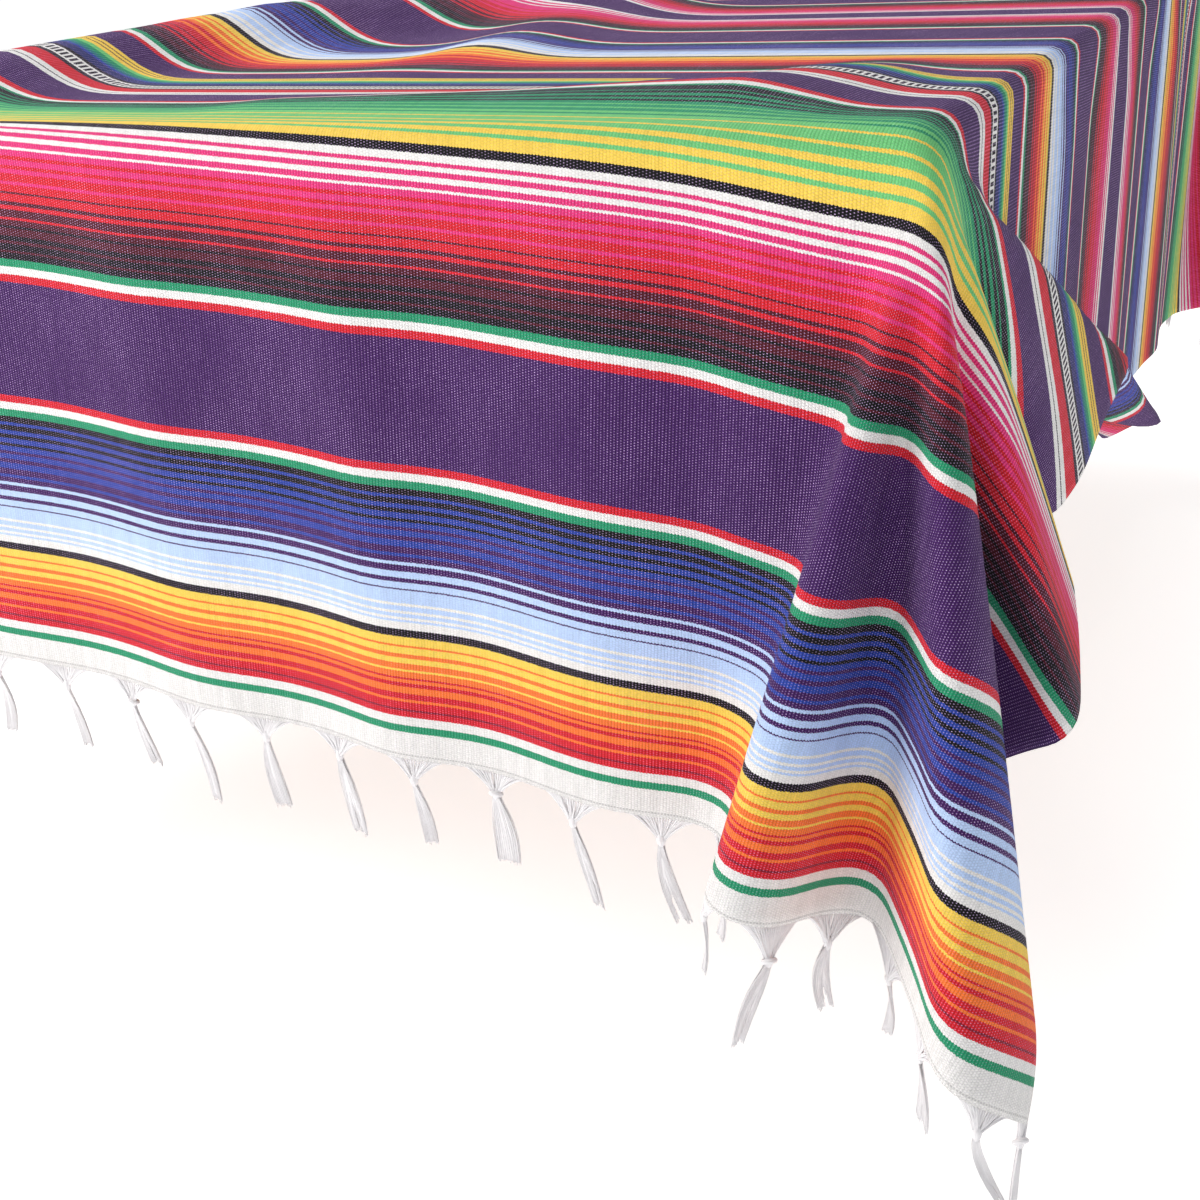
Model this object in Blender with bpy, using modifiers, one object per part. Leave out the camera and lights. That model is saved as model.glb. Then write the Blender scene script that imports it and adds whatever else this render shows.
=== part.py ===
"""Mexican serape draped over a plain table.

Metres, +Z up, the front of the table towards -Y. The cloth is one woven panel with a fringe at each
end. It is worked out as a real sheet would hang: around each corner of the table top the flat cloth
becomes a cone whose rulings start at that corner, so lengths on the cloth are kept, and the cloth
that the corner leaves over stands in folds.
"""

import math

import bmesh
import bpy
import numpy as np
from mathutils import Vector
from mathutils.geometry import delaunay_2d_cdt

# Driving dimensions of the table, which stands on one column
TABLE_WIDTH = 0.90
TABLE_LENGTH = 1.30
TABLE_HEIGHT = 0.62
TOP_THICKNESS = 0.032
TOP_CORNER_RADIUS = 0.040
TOP_EDGE_RADIUS = 0.021
TOP_UNDER_RADIUS = 0.004
BEARER_WIDTH = 0.46
BEARER_LENGTH = 0.64
BEARER_THICKNESS = 0.028
COLUMN_SIZE = 0.17
BASE_WIDTH = 0.46
BASE_LENGTH = 0.42
BASE_THICKNESS = 0.040
STAND_CORNER_RADIUS = 0.030
STAND_EDGE_RADIUS = 0.005

# Driving dimensions of the cloth
CLOTH_WIDTH = 1.50
CLOTH_LENGTH = 1.98
WALL = 0.002
GAP = 0.0003
TURN = math.radians(4.0)
SHIFT_X = 0.0364
SHIFT_Y = -0.0316
RIDGE_ROUNDING = 0.012
CORNER_ROUNDING = 0.012
CORNER_REACH = 0.12

# Mesh spacing of the cloth. Rays run along the rulings around each corner, so folds are mesh edges.
# Angles are in degrees from the end ridge, as on the flat cloth.
RAY_FIRST = 54.0
RAY_LAST = 232.0
RAY_STEP = 3.8
RAY_RINGS = (0.075, 0.14, 0.23, 0.34)
CAP_RINGS = ((0.014, 45.0), (0.038, 18.0))
RIDGE_OFFSETS = (-0.024, -0.009, 0.0, 0.009, 0.024)
RAY_MARGIN = 0.03
CAP_RAYS = (300.0, 330.0, 20.0, 38.0, 250.0)
RIDGE_SETBACK = 0.065
RIDGE_STEP = 0.080
TOP_STEP = 0.050
FLAP_ROWS = (0.11, 0.22)
FLAP_MARGIN = 0.02
FLAP_STEP = 0.091
HEM_STEP = 0.065
HEM_LOOK_BACK = 0.004

# Driving dimensions of the fringe
TASSELS = 27
STRIP_WIDTH = 0.007
STRIP_GAP = 0.0007
STRIP_WALL = 0.0014
ROOT_WIDTH = 0.030
STRAND_WALL = 0.005
STRAND_SNAP = 0.004

# A tassel's way down: the cloth's own way at the hem by this share, and straight down by the rest
HEM_SHARE = 0.35

# Sections of one tassel: distance below the strip, width, wall as a share of STRAND_WALL
TASSEL_SECTIONS = (
    ("web", 0.010, 0.017, 0.40),
    ("knot", 0.020, 0.009, 1.00),
    ("lock", 0.048, 0.011, 0.80),
    ("tip", 0.075, 0.015, 0.55),
)

# Sections of the cloth around a corner, from the end ridge to the side ridge. Each row is one ruling:
# side and end are its direction cosines outwards past the table's side and past its end, and give
# says whether the fold may grow to take up the cloth that is left over.
SIDE, END, GIVE = 0, 1, 2
SHARED_FOLDS = (
    (-1.000, 0.000, 0),
    (-0.940, 0.000, 0),
    (-0.770, 0.000, 0),
    (-0.570, 0.000, 0),
    (-0.420, 0.000, 0),
    (-0.330, 0.000, 0),
    (-0.268, 0.030, 0),
    (-0.245, 0.120, 0),
    (-0.232, 0.200, 0),
    (-0.190, 0.232, 0),
    (-0.140, 0.199, 0),
    (-0.103, 0.103, 0),
    (-0.072, 0.055, 0),
    (-0.038, 0.049, 0),
    (0.000, 0.095, 0),
    (0.042, 0.156, 0),
    (0.078, 0.212, 0),
    (0.110, 0.222, 0),
    (0.148, 0.175, 0),
    (0.163, 0.091, 0),
    (0.120, 0.000, 0),
    (0.050, -0.050, 0),
    (0.020, -0.090, 0),
    (0.060, -0.115, 0),
    (0.150, -0.100, 0),
    (0.215, -0.070, 0),
    (0.238, -0.110, 0),
    (0.233, -0.181, 0),
    (0.222, -0.258, 0),
    (0.205, -0.340, 0),
    (0.174, -0.430, 0),
    (0.090, -0.470, 0),
    (0.025, -0.485, 0),
    (0.020, -0.530, 0),
)
FRONT_CORNER = SHARED_FOLDS + (
    (0.060, -0.555, 0),
    (0.107, -0.575, 0),
    (0.128, -0.630, 0),
    (0.136, -0.672, 0),
    (0.136, -0.718, 0),
    (0.134, -0.765, 0),
    (0.132, -0.810, 0),
    (0.127, -0.850, 0),
    (0.108, -0.866, 0),
    (0.060, -0.866, 0),
    (0.020, -0.856, 0),
    (0.018, -0.842, 0),
    (0.050, -0.838, 1),
    (0.075, -0.845, 1),
    (0.060, -0.858, 1),
    (0.010, -0.866, 0),
    (0.000, -0.880, 0),
    (0.000, -0.910, 0),
    (0.000, -0.950, 0),
    (0.000, -1.000, 0),
)
BACK_CORNER = SHARED_FOLDS + (
    (0.100, -0.585, 1),
    (0.180, -0.630, 1),
    (0.210, -0.690, 1),
    (0.150, -0.730, 1),
    (0.040, -0.740, 0),
    (0.000, -0.800, 0),
    (0.000, -0.880, 0),
    (0.000, -0.950, 0),
    (0.000, -1.000, 0),
)
PLAIN_CORNER = (
    (-1.000, 0.000, 0),
    (-0.940, 0.000, 0),
    (-0.770, 0.000, 0),
    (-0.570, 0.000, 0),
    (-0.420, 0.000, 0),
    (-0.300, 0.010, 0),
    (-0.220, 0.090, 0),
    (-0.160, 0.190, 1),
    (-0.090, 0.225, 1),
    (-0.030, 0.165, 0),
    (0.000, 0.080, 0),
    (0.035, 0.050, 0),
    (0.090, 0.130, 0),
    (0.150, 0.205, 0),
    (0.205, 0.170, 0),
    (0.200, 0.070, 0),
    (0.130, -0.020, 0),
    (0.050, -0.070, 0),
    (0.030, -0.110, 0),
    (0.100, -0.150, 0),
    (0.200, -0.170, 1),
    (0.250, -0.230, 1),
    (0.230, -0.320, 1),
    (0.130, -0.390, 0),
    (0.040, -0.420, 0),
    (0.020, -0.470, 0),
    (0.090, -0.540, 0),
    (0.150, -0.600, 1),
    (0.150, -0.670, 1),
    (0.080, -0.730, 0),
    (0.000, -0.790, 0),
    (0.000, -0.880, 0),
    (0.000, -0.950, 0),
    (0.000, -1.000, 0),
)

# Low rumples of the cloth on the table top. Each is a run of crest points: x, y, height, half width
RUMPLE_FADE = 0.070
RUMPLES = {
    "left": (
        (-0.235, -0.590, 0.014, 0.045),
        (-0.225, -0.520, 0.028, 0.045),
        (-0.215, -0.400, 0.031, 0.040),
        (-0.185, -0.250, 0.037, 0.045),
        (-0.130, -0.110, 0.034, 0.050),
        (-0.050, 0.050, 0.020, 0.060),
        (0.020, 0.170, 0.000, 0.060),
    ),
    "middle": (
        (0.030, -0.390, 0.002, 0.050),
        (0.045, -0.320, 0.010, 0.045),
        (0.030, -0.230, 0.010, 0.050),
        (0.000, -0.100, 0.010, 0.060),
        (-0.010, 0.000, 0.016, 0.060),
        (0.000, 0.150, 0.000, 0.060),
    ),
    "front": (
        (0.050, -0.585, 0.004, 0.040),
        (0.200, -0.582, 0.008, 0.045),
        (0.330, -0.575, 0.014, 0.055),
        (0.360, -0.490, 0.010, 0.050),
        (0.360, -0.430, 0.004, 0.040),
    ),
    "back": (
        (-0.300, 0.180, 0.000, 0.050),
        (-0.080, 0.330, 0.018, 0.055),
        (0.140, 0.420, 0.000, 0.060),
    ),
}

COLLECTION = "serape_on_table"


def clear_scene():
    for item in list(bpy.data.objects):
        bpy.data.objects.remove(item, do_unlink=True)


def make_collection(name):
    group = bpy.data.collections.new(name)
    bpy.context.scene.collection.children.link(group)
    return group


def make_material(name, colour, roughness, metallic=0.0):
    material = bpy.data.materials.new(name)
    material.use_nodes = True
    shader = material.node_tree.nodes["Principled BSDF"]
    shader.inputs["Base Color"].default_value = (*colour, 1.0)
    shader.inputs["Roughness"].default_value = roughness
    shader.inputs["Metallic"].default_value = metallic
    return material


def make_object(name, mesh, group, material, parent):
    item = bpy.data.objects.new(name, mesh)
    mesh.materials.append(material)
    group.objects.link(item)
    item.parent = parent
    return item


# Curve of rulings around one corner


def through_points(points, steps=24):
    """A smooth curve through the points (Catmull-Rom)."""
    rows = np.vstack([2 * points[0] - points[1], points, 2 * points[-1] - points[-2]])
    t = np.linspace(0.0, 1.0, steps, endpoint=False)[:, None]
    pieces = []
    for i in range(len(points) - 1):
        a, b, c, d = rows[i : i + 4]
        bend = (c - a) * t + (2 * a - 5 * b + 4 * c - d) * t**2 + (3 * b - a - 3 * c + d) * t**3
        pieces.append(b + bend / 2)
    pieces.append(points[-1:])
    return np.vstack(pieces)


def rulings_at(rows, growth):
    """The unit rulings of one corner, and the flat angle at which each lies on the uncut cloth."""
    table = np.array(rows, float)
    outwards = table[:, : END + 1].copy()
    outwards[:, SIDE] *= 1.0 + (growth - 1.0) * table[:, GIVE]
    outwards = through_points(outwards)
    down = -np.sqrt(np.clip(1.0 - (outwards**2).sum(axis=1), 0.0, None))
    ruling = np.column_stack([outwards, down])
    ruling /= np.linalg.norm(ruling, axis=1)[:, None]
    chord = np.linalg.norm(np.diff(ruling, axis=0), axis=1)
    angle = np.concatenate([[0.0], np.cumsum(2.0 * np.arcsin(chord / 2.0))])
    return angle, ruling


def corner_rulings(rows):
    """Grow the folds until the rulings turn through the 270 degrees that the flat cloth has there."""
    low, high = 0.0, 4.0
    for _ in range(40):
        growth = (low + high) / 2.0
        angle, ruling = rulings_at(rows, growth)
        if angle[-1] < 1.5 * math.pi:
            low = growth
        else:
            high = growth
    return angle, ruling


def swapped_rulings(rows):
    """The same folds with the table's side and end changed over."""
    angle, ruling = corner_rulings(rows)
    return 1.5 * math.pi - angle[::-1], ruling[::-1][:, [END, SIDE, 2]]


# Corner by its signs along X and Y
CORNERS = {
    (1, -1): corner_rulings(FRONT_CORNER),
    (-1, -1): corner_rulings(PLAIN_CORNER),
    (1, 1): swapped_rulings(PLAIN_CORNER),
    (-1, 1): swapped_rulings(BACK_CORNER),
}


# The drape: a point of the flat cloth to its place in space


def table_from_cloth(u, v):
    """Where a point of the flat cloth would lie if the table top went on for ever."""
    x = SHIFT_X + u * math.cos(TURN) + v * math.sin(TURN)
    y = SHIFT_Y - u * math.sin(TURN) + v * math.cos(TURN)
    return x, y


def cloth_from_table(x, y):
    x, y = x - SHIFT_X, y - SHIFT_Y
    return x * math.cos(TURN) - y * math.sin(TURN), x * math.sin(TURN) + y * math.cos(TURN)


def sharp_drape(x, y):
    """The cloth folded sharply over the table's edges, middle of its wall."""
    lift = GAP + WALL / 2.0
    half_x, half_y, top = TABLE_WIDTH / 2 + lift, TABLE_LENGTH / 2 + lift, TABLE_HEIGHT + lift
    place = np.stack([x, y, np.full_like(x, top)], axis=-1)
    for (sign_x, sign_y), (angle, ruling) in CORNERS.items():
        out_x, out_y = sign_x * x - half_x, sign_y * y - half_y
        here = (sign_x * x >= 0) & (sign_y * y >= 0) & ((out_x > 0) | (out_y > 0))
        turn = np.mod(np.arctan2(out_y, -out_x), 2 * math.pi)
        reach = np.hypot(out_x, out_y)
        side, end, down = (np.interp(turn, angle, ruling[:, k]) for k in range(3))
        hung = np.stack(
            [sign_x * (half_x + reach * side), sign_y * (half_y + reach * end), top + reach * down],
            axis=-1,
        )
        place[here] = hung[here]
    return place


def disc_samples(count=32):
    """Points spread evenly over a unit disc, along a spiral with the golden angle."""
    step = np.arange(count)
    turn = step * math.pi * (3.0 - math.sqrt(5.0))
    radius = np.sqrt((step + 0.5) / count)
    return list(zip(radius * np.cos(turn), radius * np.sin(turn)))


def rumple_height(x, y):
    """Height of the low rumples, which die out towards the table's edges."""
    height = np.zeros_like(x)
    for run in RUMPLES.values():
        nearest, rise = np.full_like(x, np.inf), np.zeros_like(x)
        for (x0, y0, tall0, half0), (x1, y1, tall1, half1) in zip(run[:-1], run[1:]):
            share = ((x - x0) * (x1 - x0) + (y - y0) * (y1 - y0)) / ((x1 - x0) ** 2 + (y1 - y0) ** 2)
            share = np.clip(share, 0.0, 1.0)
            off = np.hypot(x - x0 - share * (x1 - x0), y - y0 - share * (y1 - y0))
            half, tall = half0 + share * (half1 - half0), tall0 + share * (tall1 - tall0)
            rise = np.where(off < nearest, tall * np.exp(-((off / half) ** 2)), rise)
            nearest = np.minimum(nearest, off)
        height += rise
    inside_x = np.clip((TABLE_WIDTH / 2 - np.abs(x)) / RUMPLE_FADE, 0.0, 1.0)
    inside_y = np.clip((TABLE_LENGTH / 2 - np.abs(y)) / RUMPLE_FADE, 0.0, 1.0)
    inside = inside_x * inside_y
    return height * inside * inside * (3.0 - 2.0 * inside)


def drape(x, y):
    """The draped cloth: the sharp drape with its ridges rounded, and the rumples."""
    to_corner = np.hypot(np.abs(x) - TABLE_WIDTH / 2, np.abs(y) - TABLE_LENGTH / 2)
    radius = RIDGE_ROUNDING + CORNER_ROUNDING * np.exp(-((to_corner / CORNER_REACH) ** 2))
    samples = disc_samples()
    place = sum(sharp_drape(x + radius * dx, y + radius * dy) for dx, dy in samples) / len(samples)
    place[..., 2] += rumple_height(x, y)
    return place


# Mesh of the flat cloth, in table x and y


def outline_distance(start, way):
    """How far a line from a point of the flat cloth runs before it leaves the cloth."""
    u, v = cloth_from_table(*start)
    tip_u, tip_v = cloth_from_table(start[0] + way[0], start[1] + way[1])
    reaches = []
    for place, rate, half in ((u, tip_u - u, CLOTH_WIDTH / 2), (v, tip_v - v, CLOTH_LENGTH / 2)):
        if abs(rate) > 1e-9:
            reaches.append((math.copysign(half, rate) - place) / rate)
    return min(reaches)


def evenly(first, last, step):
    return np.linspace(first, last, max(1, math.ceil(abs(last - first) / step)) + 1)


class FlatMesh:
    """Points and edges of the flat cloth, which a constrained triangulation joins up."""

    def __init__(self):
        self.points = []
        self.edges = []
        self.rim = []

    def add(self, x, y, on_rim=False):
        self.points.append((float(x), float(y)))
        if on_rim:
            self.rim.append(len(self.points) - 1)
        return len(self.points) - 1

    def chain(self, indices):
        self.edges += list(zip(indices[:-1], indices[1:]))

    def ordered_rim(self):
        """The rim's points in order round the cloth."""
        flat = [cloth_from_table(*self.points[i]) for i in self.rim]
        return [i for _, i in sorted(zip((math.atan2(v, u) for u, v in flat), self.rim))]

    def triangles(self):
        rim = self.ordered_rim()
        points = [Vector(point) for point in self.points]
        places, _, faces = delaunay_2d_cdt(points, self.edges, [rim], 1, 1e-6)[:3]
        return np.array([tuple(place) for place in places]), [tuple(face) for face in faces]


def ray_way(sign_x, sign_y, degrees):
    angle = math.radians(degrees)
    return -math.cos(angle) * sign_x, math.sin(angle) * sign_y


def add_corner(flat, sign_x, sign_y):
    """Rays along the rulings of one corner, and a few rings close to the table's own corner."""
    x, y = sign_x * TABLE_WIDTH / 2, sign_y * TABLE_LENGTH / 2
    tip_x, tip_y = table_from_cloth(sign_x * CLOTH_WIDTH / 2, sign_y * CLOTH_LENGTH / 2)
    tip = math.degrees(math.atan2(sign_y * (tip_y - y), -sign_x * (tip_x - x)))
    rays = np.concatenate([evenly(RAY_FIRST, tip, RAY_STEP), evenly(tip, RAY_LAST, RAY_STEP)[1:]])
    for degrees in rays:
        way = ray_way(sign_x, sign_y, degrees)
        reach = outline_distance((x, y), way)
        radii = [r for r in RAY_RINGS if r < reach - RAY_MARGIN]
        stops = [flat.add(x + way[0] * r, y + way[1] * r) for r in radii]
        flat.chain(stops + [flat.add(x + way[0] * reach, y + way[1] * reach, on_rim=True)])
    flat.add(x, y)
    for radius, step in CAP_RINGS:
        for degrees in np.arange(0.0, 360.0, step):
            way = ray_way(sign_x, sign_y, degrees)
            flat.add(x + way[0] * radius, y + way[1] * radius)
    for degrees in CAP_RAYS:
        way = ray_way(sign_x, sign_y, degrees)
        flat.add(x + way[0] * RAY_RINGS[0], y + way[1] * RAY_RINGS[0])


def add_ridges(flat):
    """Lines beside each table edge, where the cloth bends over it."""
    half_x, half_y = TABLE_WIDTH / 2, TABLE_LENGTH / 2
    for sign in (-1, 1):
        for offset in RIDGE_OFFSETS:
            y = sign * (half_y + offset)
            run = evenly(-half_x + RIDGE_SETBACK, half_x - RIDGE_SETBACK, RIDGE_STEP)
            flat.chain([flat.add(x, y) for x in run])
            x = sign * (half_x + offset)
            run = evenly(-half_y + RIDGE_SETBACK, half_y - RIDGE_SETBACK, RIDGE_STEP)
            flat.chain([flat.add(x, y) for y in run])


def add_top(flat):
    for x in evenly(-TABLE_WIDTH / 2 + TOP_STEP, TABLE_WIDTH / 2 - TOP_STEP, TOP_STEP):
        for y in evenly(-TABLE_LENGTH / 2 + TOP_STEP, TABLE_LENGTH / 2 - TOP_STEP, TOP_STEP):
            flat.add(x, y)


def add_flaps(flat):
    """The flat middle of each flap, between the rays of its two corners."""
    half_x, half_y = TABLE_WIDTH / 2, TABLE_LENGTH / 2
    end_lean = 1.0 / math.tan(math.radians(RAY_FIRST))
    side_lean = 1.0 / math.tan(math.radians(270.0 - RAY_LAST))
    for sign in (-1, 1):
        for out in FLAP_ROWS:
            reach = half_x - out * end_lean - FLAP_MARGIN
            for x in evenly(-reach, reach, FLAP_STEP):
                flat.add(x, sign * (half_y + out))
            reach = half_y - out * side_lean - FLAP_MARGIN
            for y in evenly(-reach, reach, FLAP_STEP):
                flat.add(sign * (half_x + out), y)


def fill_rim(flat):
    """More points where the rim's own are far apart."""
    rim = flat.ordered_rim()
    for one, two in zip(rim, rim[1:] + rim[:1]):
        (x0, y0), (x1, y1) = flat.points[one], flat.points[two]
        for share in evenly(0.0, 1.0, HEM_STEP / math.hypot(x1 - x0, y1 - y0))[1:-1]:
            flat.add(x0 + (x1 - x0) * share, y0 + (y1 - y0) * share, on_rim=True)


def lay_out_cloth():
    flat = FlatMesh()
    for sign_x, sign_y in CORNERS:
        add_corner(flat, sign_x, sign_y)
    add_ridges(flat)
    add_top(flat)
    add_flaps(flat)
    fill_rim(flat)
    return flat


def solidify(item, thickness, group_name=""):
    wall = item.modifiers.new("wall", "SOLIDIFY")
    wall.thickness = thickness
    wall.offset = 0.0
    wall.use_even_offset = True
    wall.use_quality_normals = True
    wall.thickness_clamp = 0.0
    if group_name:
        wall.vertex_group = group_name
    return wall


def make_panel(group, material, parent, flat):
    """The woven panel: the flat cloth's triangles, each point moved to its place in the drape."""
    points, faces = flat.triangles()
    mesh = bpy.data.meshes.new("serape_panel")
    mesh.from_pydata(drape(points[:, 0], points[:, 1]), [], faces)
    mesh.shade_smooth()
    panel = make_object("serape_panel", mesh, group, material, parent)
    solidify(panel, WALL)
    return panel


# Fringe


def hem_stations(flat, end):
    """The hem as the panel's mesh has it: distance across the cloth, place, and way down the cloth."""
    rim = np.array([flat.points[i] for i in flat.rim])
    across, along = cloth_from_table(rim[:, 0], rim[:, 1])
    on_hem = np.abs(along - end * CLOTH_LENGTH / 2) < 1e-6
    order = np.argsort(across[on_hem])
    across, (x, y) = across[on_hem][order], rim[on_hem][order].T
    step = HEM_LOOK_BACK * end
    place = drape(x, y)
    way = drape(x + step * math.sin(TURN), y + step * math.cos(TURN)) - place
    return across, place, way / np.linalg.norm(way, axis=1)[:, None]


def tassel_edges(across):
    """Left and right edge of each tassel's root, moved onto a mesh line where one is close."""
    pitch = CLOTH_WIDTH / TASSELS
    edges = []
    for k in range(TASSELS):
        middle = -CLOTH_WIDTH / 2 + pitch * (k + 0.5)
        pair = []
        for edge in (middle - ROOT_WIDTH / 2, middle + ROOT_WIDTH / 2):
            nearest = across[np.argmin(np.abs(across - edge))]
            pair.append(nearest if abs(nearest - edge) < STRAND_SNAP else edge)
        edges.append(tuple(pair))
    return edges


def make_fringe(name, group, material, parent, flat, end):
    """A narrow strip just off the hem, with a tassel drawn down from it at each root."""
    across, place, way = hem_stations(flat, end)
    roots = tassel_edges(across)
    stops = np.array(sorted(set(across) | {edge for pair in roots for edge in pair}))
    hem = np.stack([np.interp(stops, across, place[:, k]) for k in range(3)], axis=1)
    down = np.stack([np.interp(stops, across, way[:, k]) for k in range(3)], axis=1)
    top_edge = hem + STRIP_GAP * down
    low_edge = hem + (STRIP_GAP + STRIP_WIDTH) * down
    sheet = bmesh.new()
    walls = sheet.verts.layers.deform.verify()
    top = [sheet.verts.new(p) for p in top_edge]
    low = [sheet.verts.new(p) for p in low_edge]
    for vertex in top + low:
        vertex[walls][0] = STRIP_WALL / STRAND_WALL
    for k in range(len(stops) - 1):
        sheet.faces.new((top[k], top[k + 1], low[k + 1], low[k]))
    for left, right in roots:
        first, last = np.searchsorted(stops, left), np.searchsorted(stops, right)
        chain = low[first : last + 1]
        middle = (low_edge[first] + low_edge[last]) / 2
        tangent = low_edge[last] - low_edge[first]
        tangent /= np.linalg.norm(tangent)
        hang = HEM_SHARE * (down[first] + down[last]) / 2 + np.array((0.0, 0.0, HEM_SHARE - 1.0))
        hang /= np.linalg.norm(hang)
        shares = (stops[first : last + 1] - left) / (right - left) - 0.5
        for _, below, width, wall in TASSEL_SECTIONS:
            centre = middle + hang * below
            lower = [sheet.verts.new(centre + tangent * width * share) for share in shares]
            for vertex in lower:
                vertex[walls][0] = wall
            for k in range(len(chain) - 1):
                sheet.faces.new((chain[k], chain[k + 1], lower[k + 1], lower[k]))
            chain = lower
    bmesh.ops.recalc_face_normals(sheet, faces=sheet.faces)
    mesh = bpy.data.meshes.new(name)
    sheet.to_mesh(mesh)
    sheet.free()
    fringe = make_object(name, mesh, group, material, parent)
    fringe.vertex_groups.new(name="wall")
    solidify(fringe, STRAND_WALL, "wall")
    return fringe


# Table


def make_block(name, group, wood, parent, size, base, corner_radius, upper_radius, lower_radius):
    """A block with its upright corners and its upper and lower edges rounded."""
    box = bmesh.new()
    bmesh.ops.create_cube(box, size=1.0)
    bmesh.ops.scale(box, vec=size, verts=box.verts)
    half = size[2] / 2
    upright = [e for e in box.edges if abs(e.verts[0].co.z - e.verts[1].co.z) > half]
    bmesh.ops.bevel(box, geom=upright, offset=corner_radius, segments=4, profile=0.5, affect="EDGES")
    for side, radius, steps in ((1, upper_radius, 3), (-1, lower_radius, 1)):
        rim = [e for e in box.edges if min(side * v.co.z for v in e.verts) > half * 0.99]
        bmesh.ops.bevel(box, geom=rim, offset=radius, segments=steps, profile=0.5, affect="EDGES")
    bmesh.ops.translate(box, vec=(0.0, 0.0, base + half), verts=box.verts)
    mesh = bpy.data.meshes.new(name)
    box.to_mesh(mesh)
    box.free()
    mesh.shade_smooth()
    mesh.set_sharp_from_angle(angle=math.radians(40))
    return make_object(name, mesh, group, wood, parent)


def make_table(group, wood, parent):
    """The top on its bearer, the column under it, and the base that it stands on."""
    top_base = TABLE_HEIGHT - TOP_THICKNESS
    bearer_base = top_base - GAP - BEARER_THICKNESS
    column_base = BASE_THICKNESS + GAP
    column_height = bearer_base - GAP - column_base
    stand = (STAND_CORNER_RADIUS, STAND_EDGE_RADIUS, STAND_EDGE_RADIUS)
    slim = (STAND_EDGE_RADIUS * 2, STAND_EDGE_RADIUS / 4, STAND_EDGE_RADIUS / 4)
    edges = (TOP_CORNER_RADIUS, TOP_EDGE_RADIUS, TOP_UNDER_RADIUS)
    for name, size, base, radii in (
        ("table_top", (TABLE_WIDTH, TABLE_LENGTH, TOP_THICKNESS), top_base, edges),
        ("table_bearer", (BEARER_WIDTH, BEARER_LENGTH, BEARER_THICKNESS), bearer_base, stand),
        ("table_column", (COLUMN_SIZE, COLUMN_SIZE, column_height), column_base, slim),
        ("table_base", (BASE_WIDTH, BASE_LENGTH, BASE_THICKNESS), 0.0, stand),
    ):
        make_block(name, group, wood, parent, size, base, *radii)


def stand_on_origin(frame, group):
    """Move the whole so that the middle of its plan is over the origin."""
    bpy.context.view_layer.update()
    graph = bpy.context.evaluated_depsgraph_get()
    low, high = np.full(3, np.inf), np.full(3, -np.inf)
    for item in group.objects:
        if item.type != "MESH":
            continue
        shown = item.evaluated_get(graph)
        points = np.array([shown.matrix_world @ vertex.co for vertex in shown.data.vertices])
        low, high = np.minimum(low, points.min(axis=0)), np.maximum(high, points.max(axis=0))
    middle = (low + high) / 2
    frame.location = (-middle[0], -middle[1], -low[2])


def main():
    clear_scene()
    group = make_collection(COLLECTION)
    frame = bpy.data.objects.new("frame", None)
    group.objects.link(frame)
    weave = make_material("striped_weave", (0.22, 0.10, 0.30), 0.9)
    yarn = make_material("white_yarn", (0.85, 0.84, 0.80), 0.9)
    wood = make_material("plain_wood", (0.45, 0.33, 0.22), 0.55)
    flat = lay_out_cloth()
    make_panel(group, weave, frame, flat)
    make_fringe("fringe_front", group, yarn, frame, flat, -1)
    make_fringe("fringe_back", group, yarn, frame, flat, 1)
    make_table(group, wood, frame)
    stand_on_origin(frame, group)


main()
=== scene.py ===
"""Looks of a Mexican serape draped over a plain table.

The woven panel is laid with the drape that its solid has: around each corner of the table top the flat
cloth is a cone whose rulings start at that corner. Metres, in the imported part's frame.
"""

import math
import random

import bpy
import numpy as np
from mathutils import Matrix, Vector


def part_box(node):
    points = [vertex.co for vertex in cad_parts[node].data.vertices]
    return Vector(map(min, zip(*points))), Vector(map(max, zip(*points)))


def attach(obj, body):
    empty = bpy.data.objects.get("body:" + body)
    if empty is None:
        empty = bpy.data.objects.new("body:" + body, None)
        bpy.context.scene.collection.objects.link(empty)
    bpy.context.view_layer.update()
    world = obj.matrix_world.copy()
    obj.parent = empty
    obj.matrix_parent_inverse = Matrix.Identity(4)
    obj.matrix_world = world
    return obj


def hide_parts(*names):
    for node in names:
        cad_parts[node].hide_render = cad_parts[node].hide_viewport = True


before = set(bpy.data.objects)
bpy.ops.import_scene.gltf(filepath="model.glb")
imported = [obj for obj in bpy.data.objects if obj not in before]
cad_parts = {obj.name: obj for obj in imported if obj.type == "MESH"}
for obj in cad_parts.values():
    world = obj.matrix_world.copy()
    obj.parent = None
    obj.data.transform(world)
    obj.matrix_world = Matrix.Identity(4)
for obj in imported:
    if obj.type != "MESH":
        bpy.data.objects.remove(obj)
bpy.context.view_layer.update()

# Table and cloth, as in the part
TABLE_WIDTH = 0.90
TABLE_LENGTH = 1.30
TABLE_HEIGHT = 0.62
CLOTH_WIDTH = 1.50
CLOTH_LENGTH = 1.98
WALL = 0.002
GAP = 0.0003
TURN = math.radians(4.0)
SHIFT_X = 0.0364
SHIFT_Y = -0.0316
RIDGE_ROUNDING = 0.012
CORNER_ROUNDING = 0.012
CORNER_REACH = 0.12

top_low, top_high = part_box("table_top")
CENTRE_X = (top_low[0] + top_high[0]) / 2
CENTRE_Y = (top_low[1] + top_high[1]) / 2

# Angle that the flat cloth takes up around a corner, outside the table's top
CORNER_ANGLE = 1.5 * math.pi
# Most that the folds may grow by, and how often its range is halved to find their growth
MOST_GROWTH = 4.0
HALVINGS = 40

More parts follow.
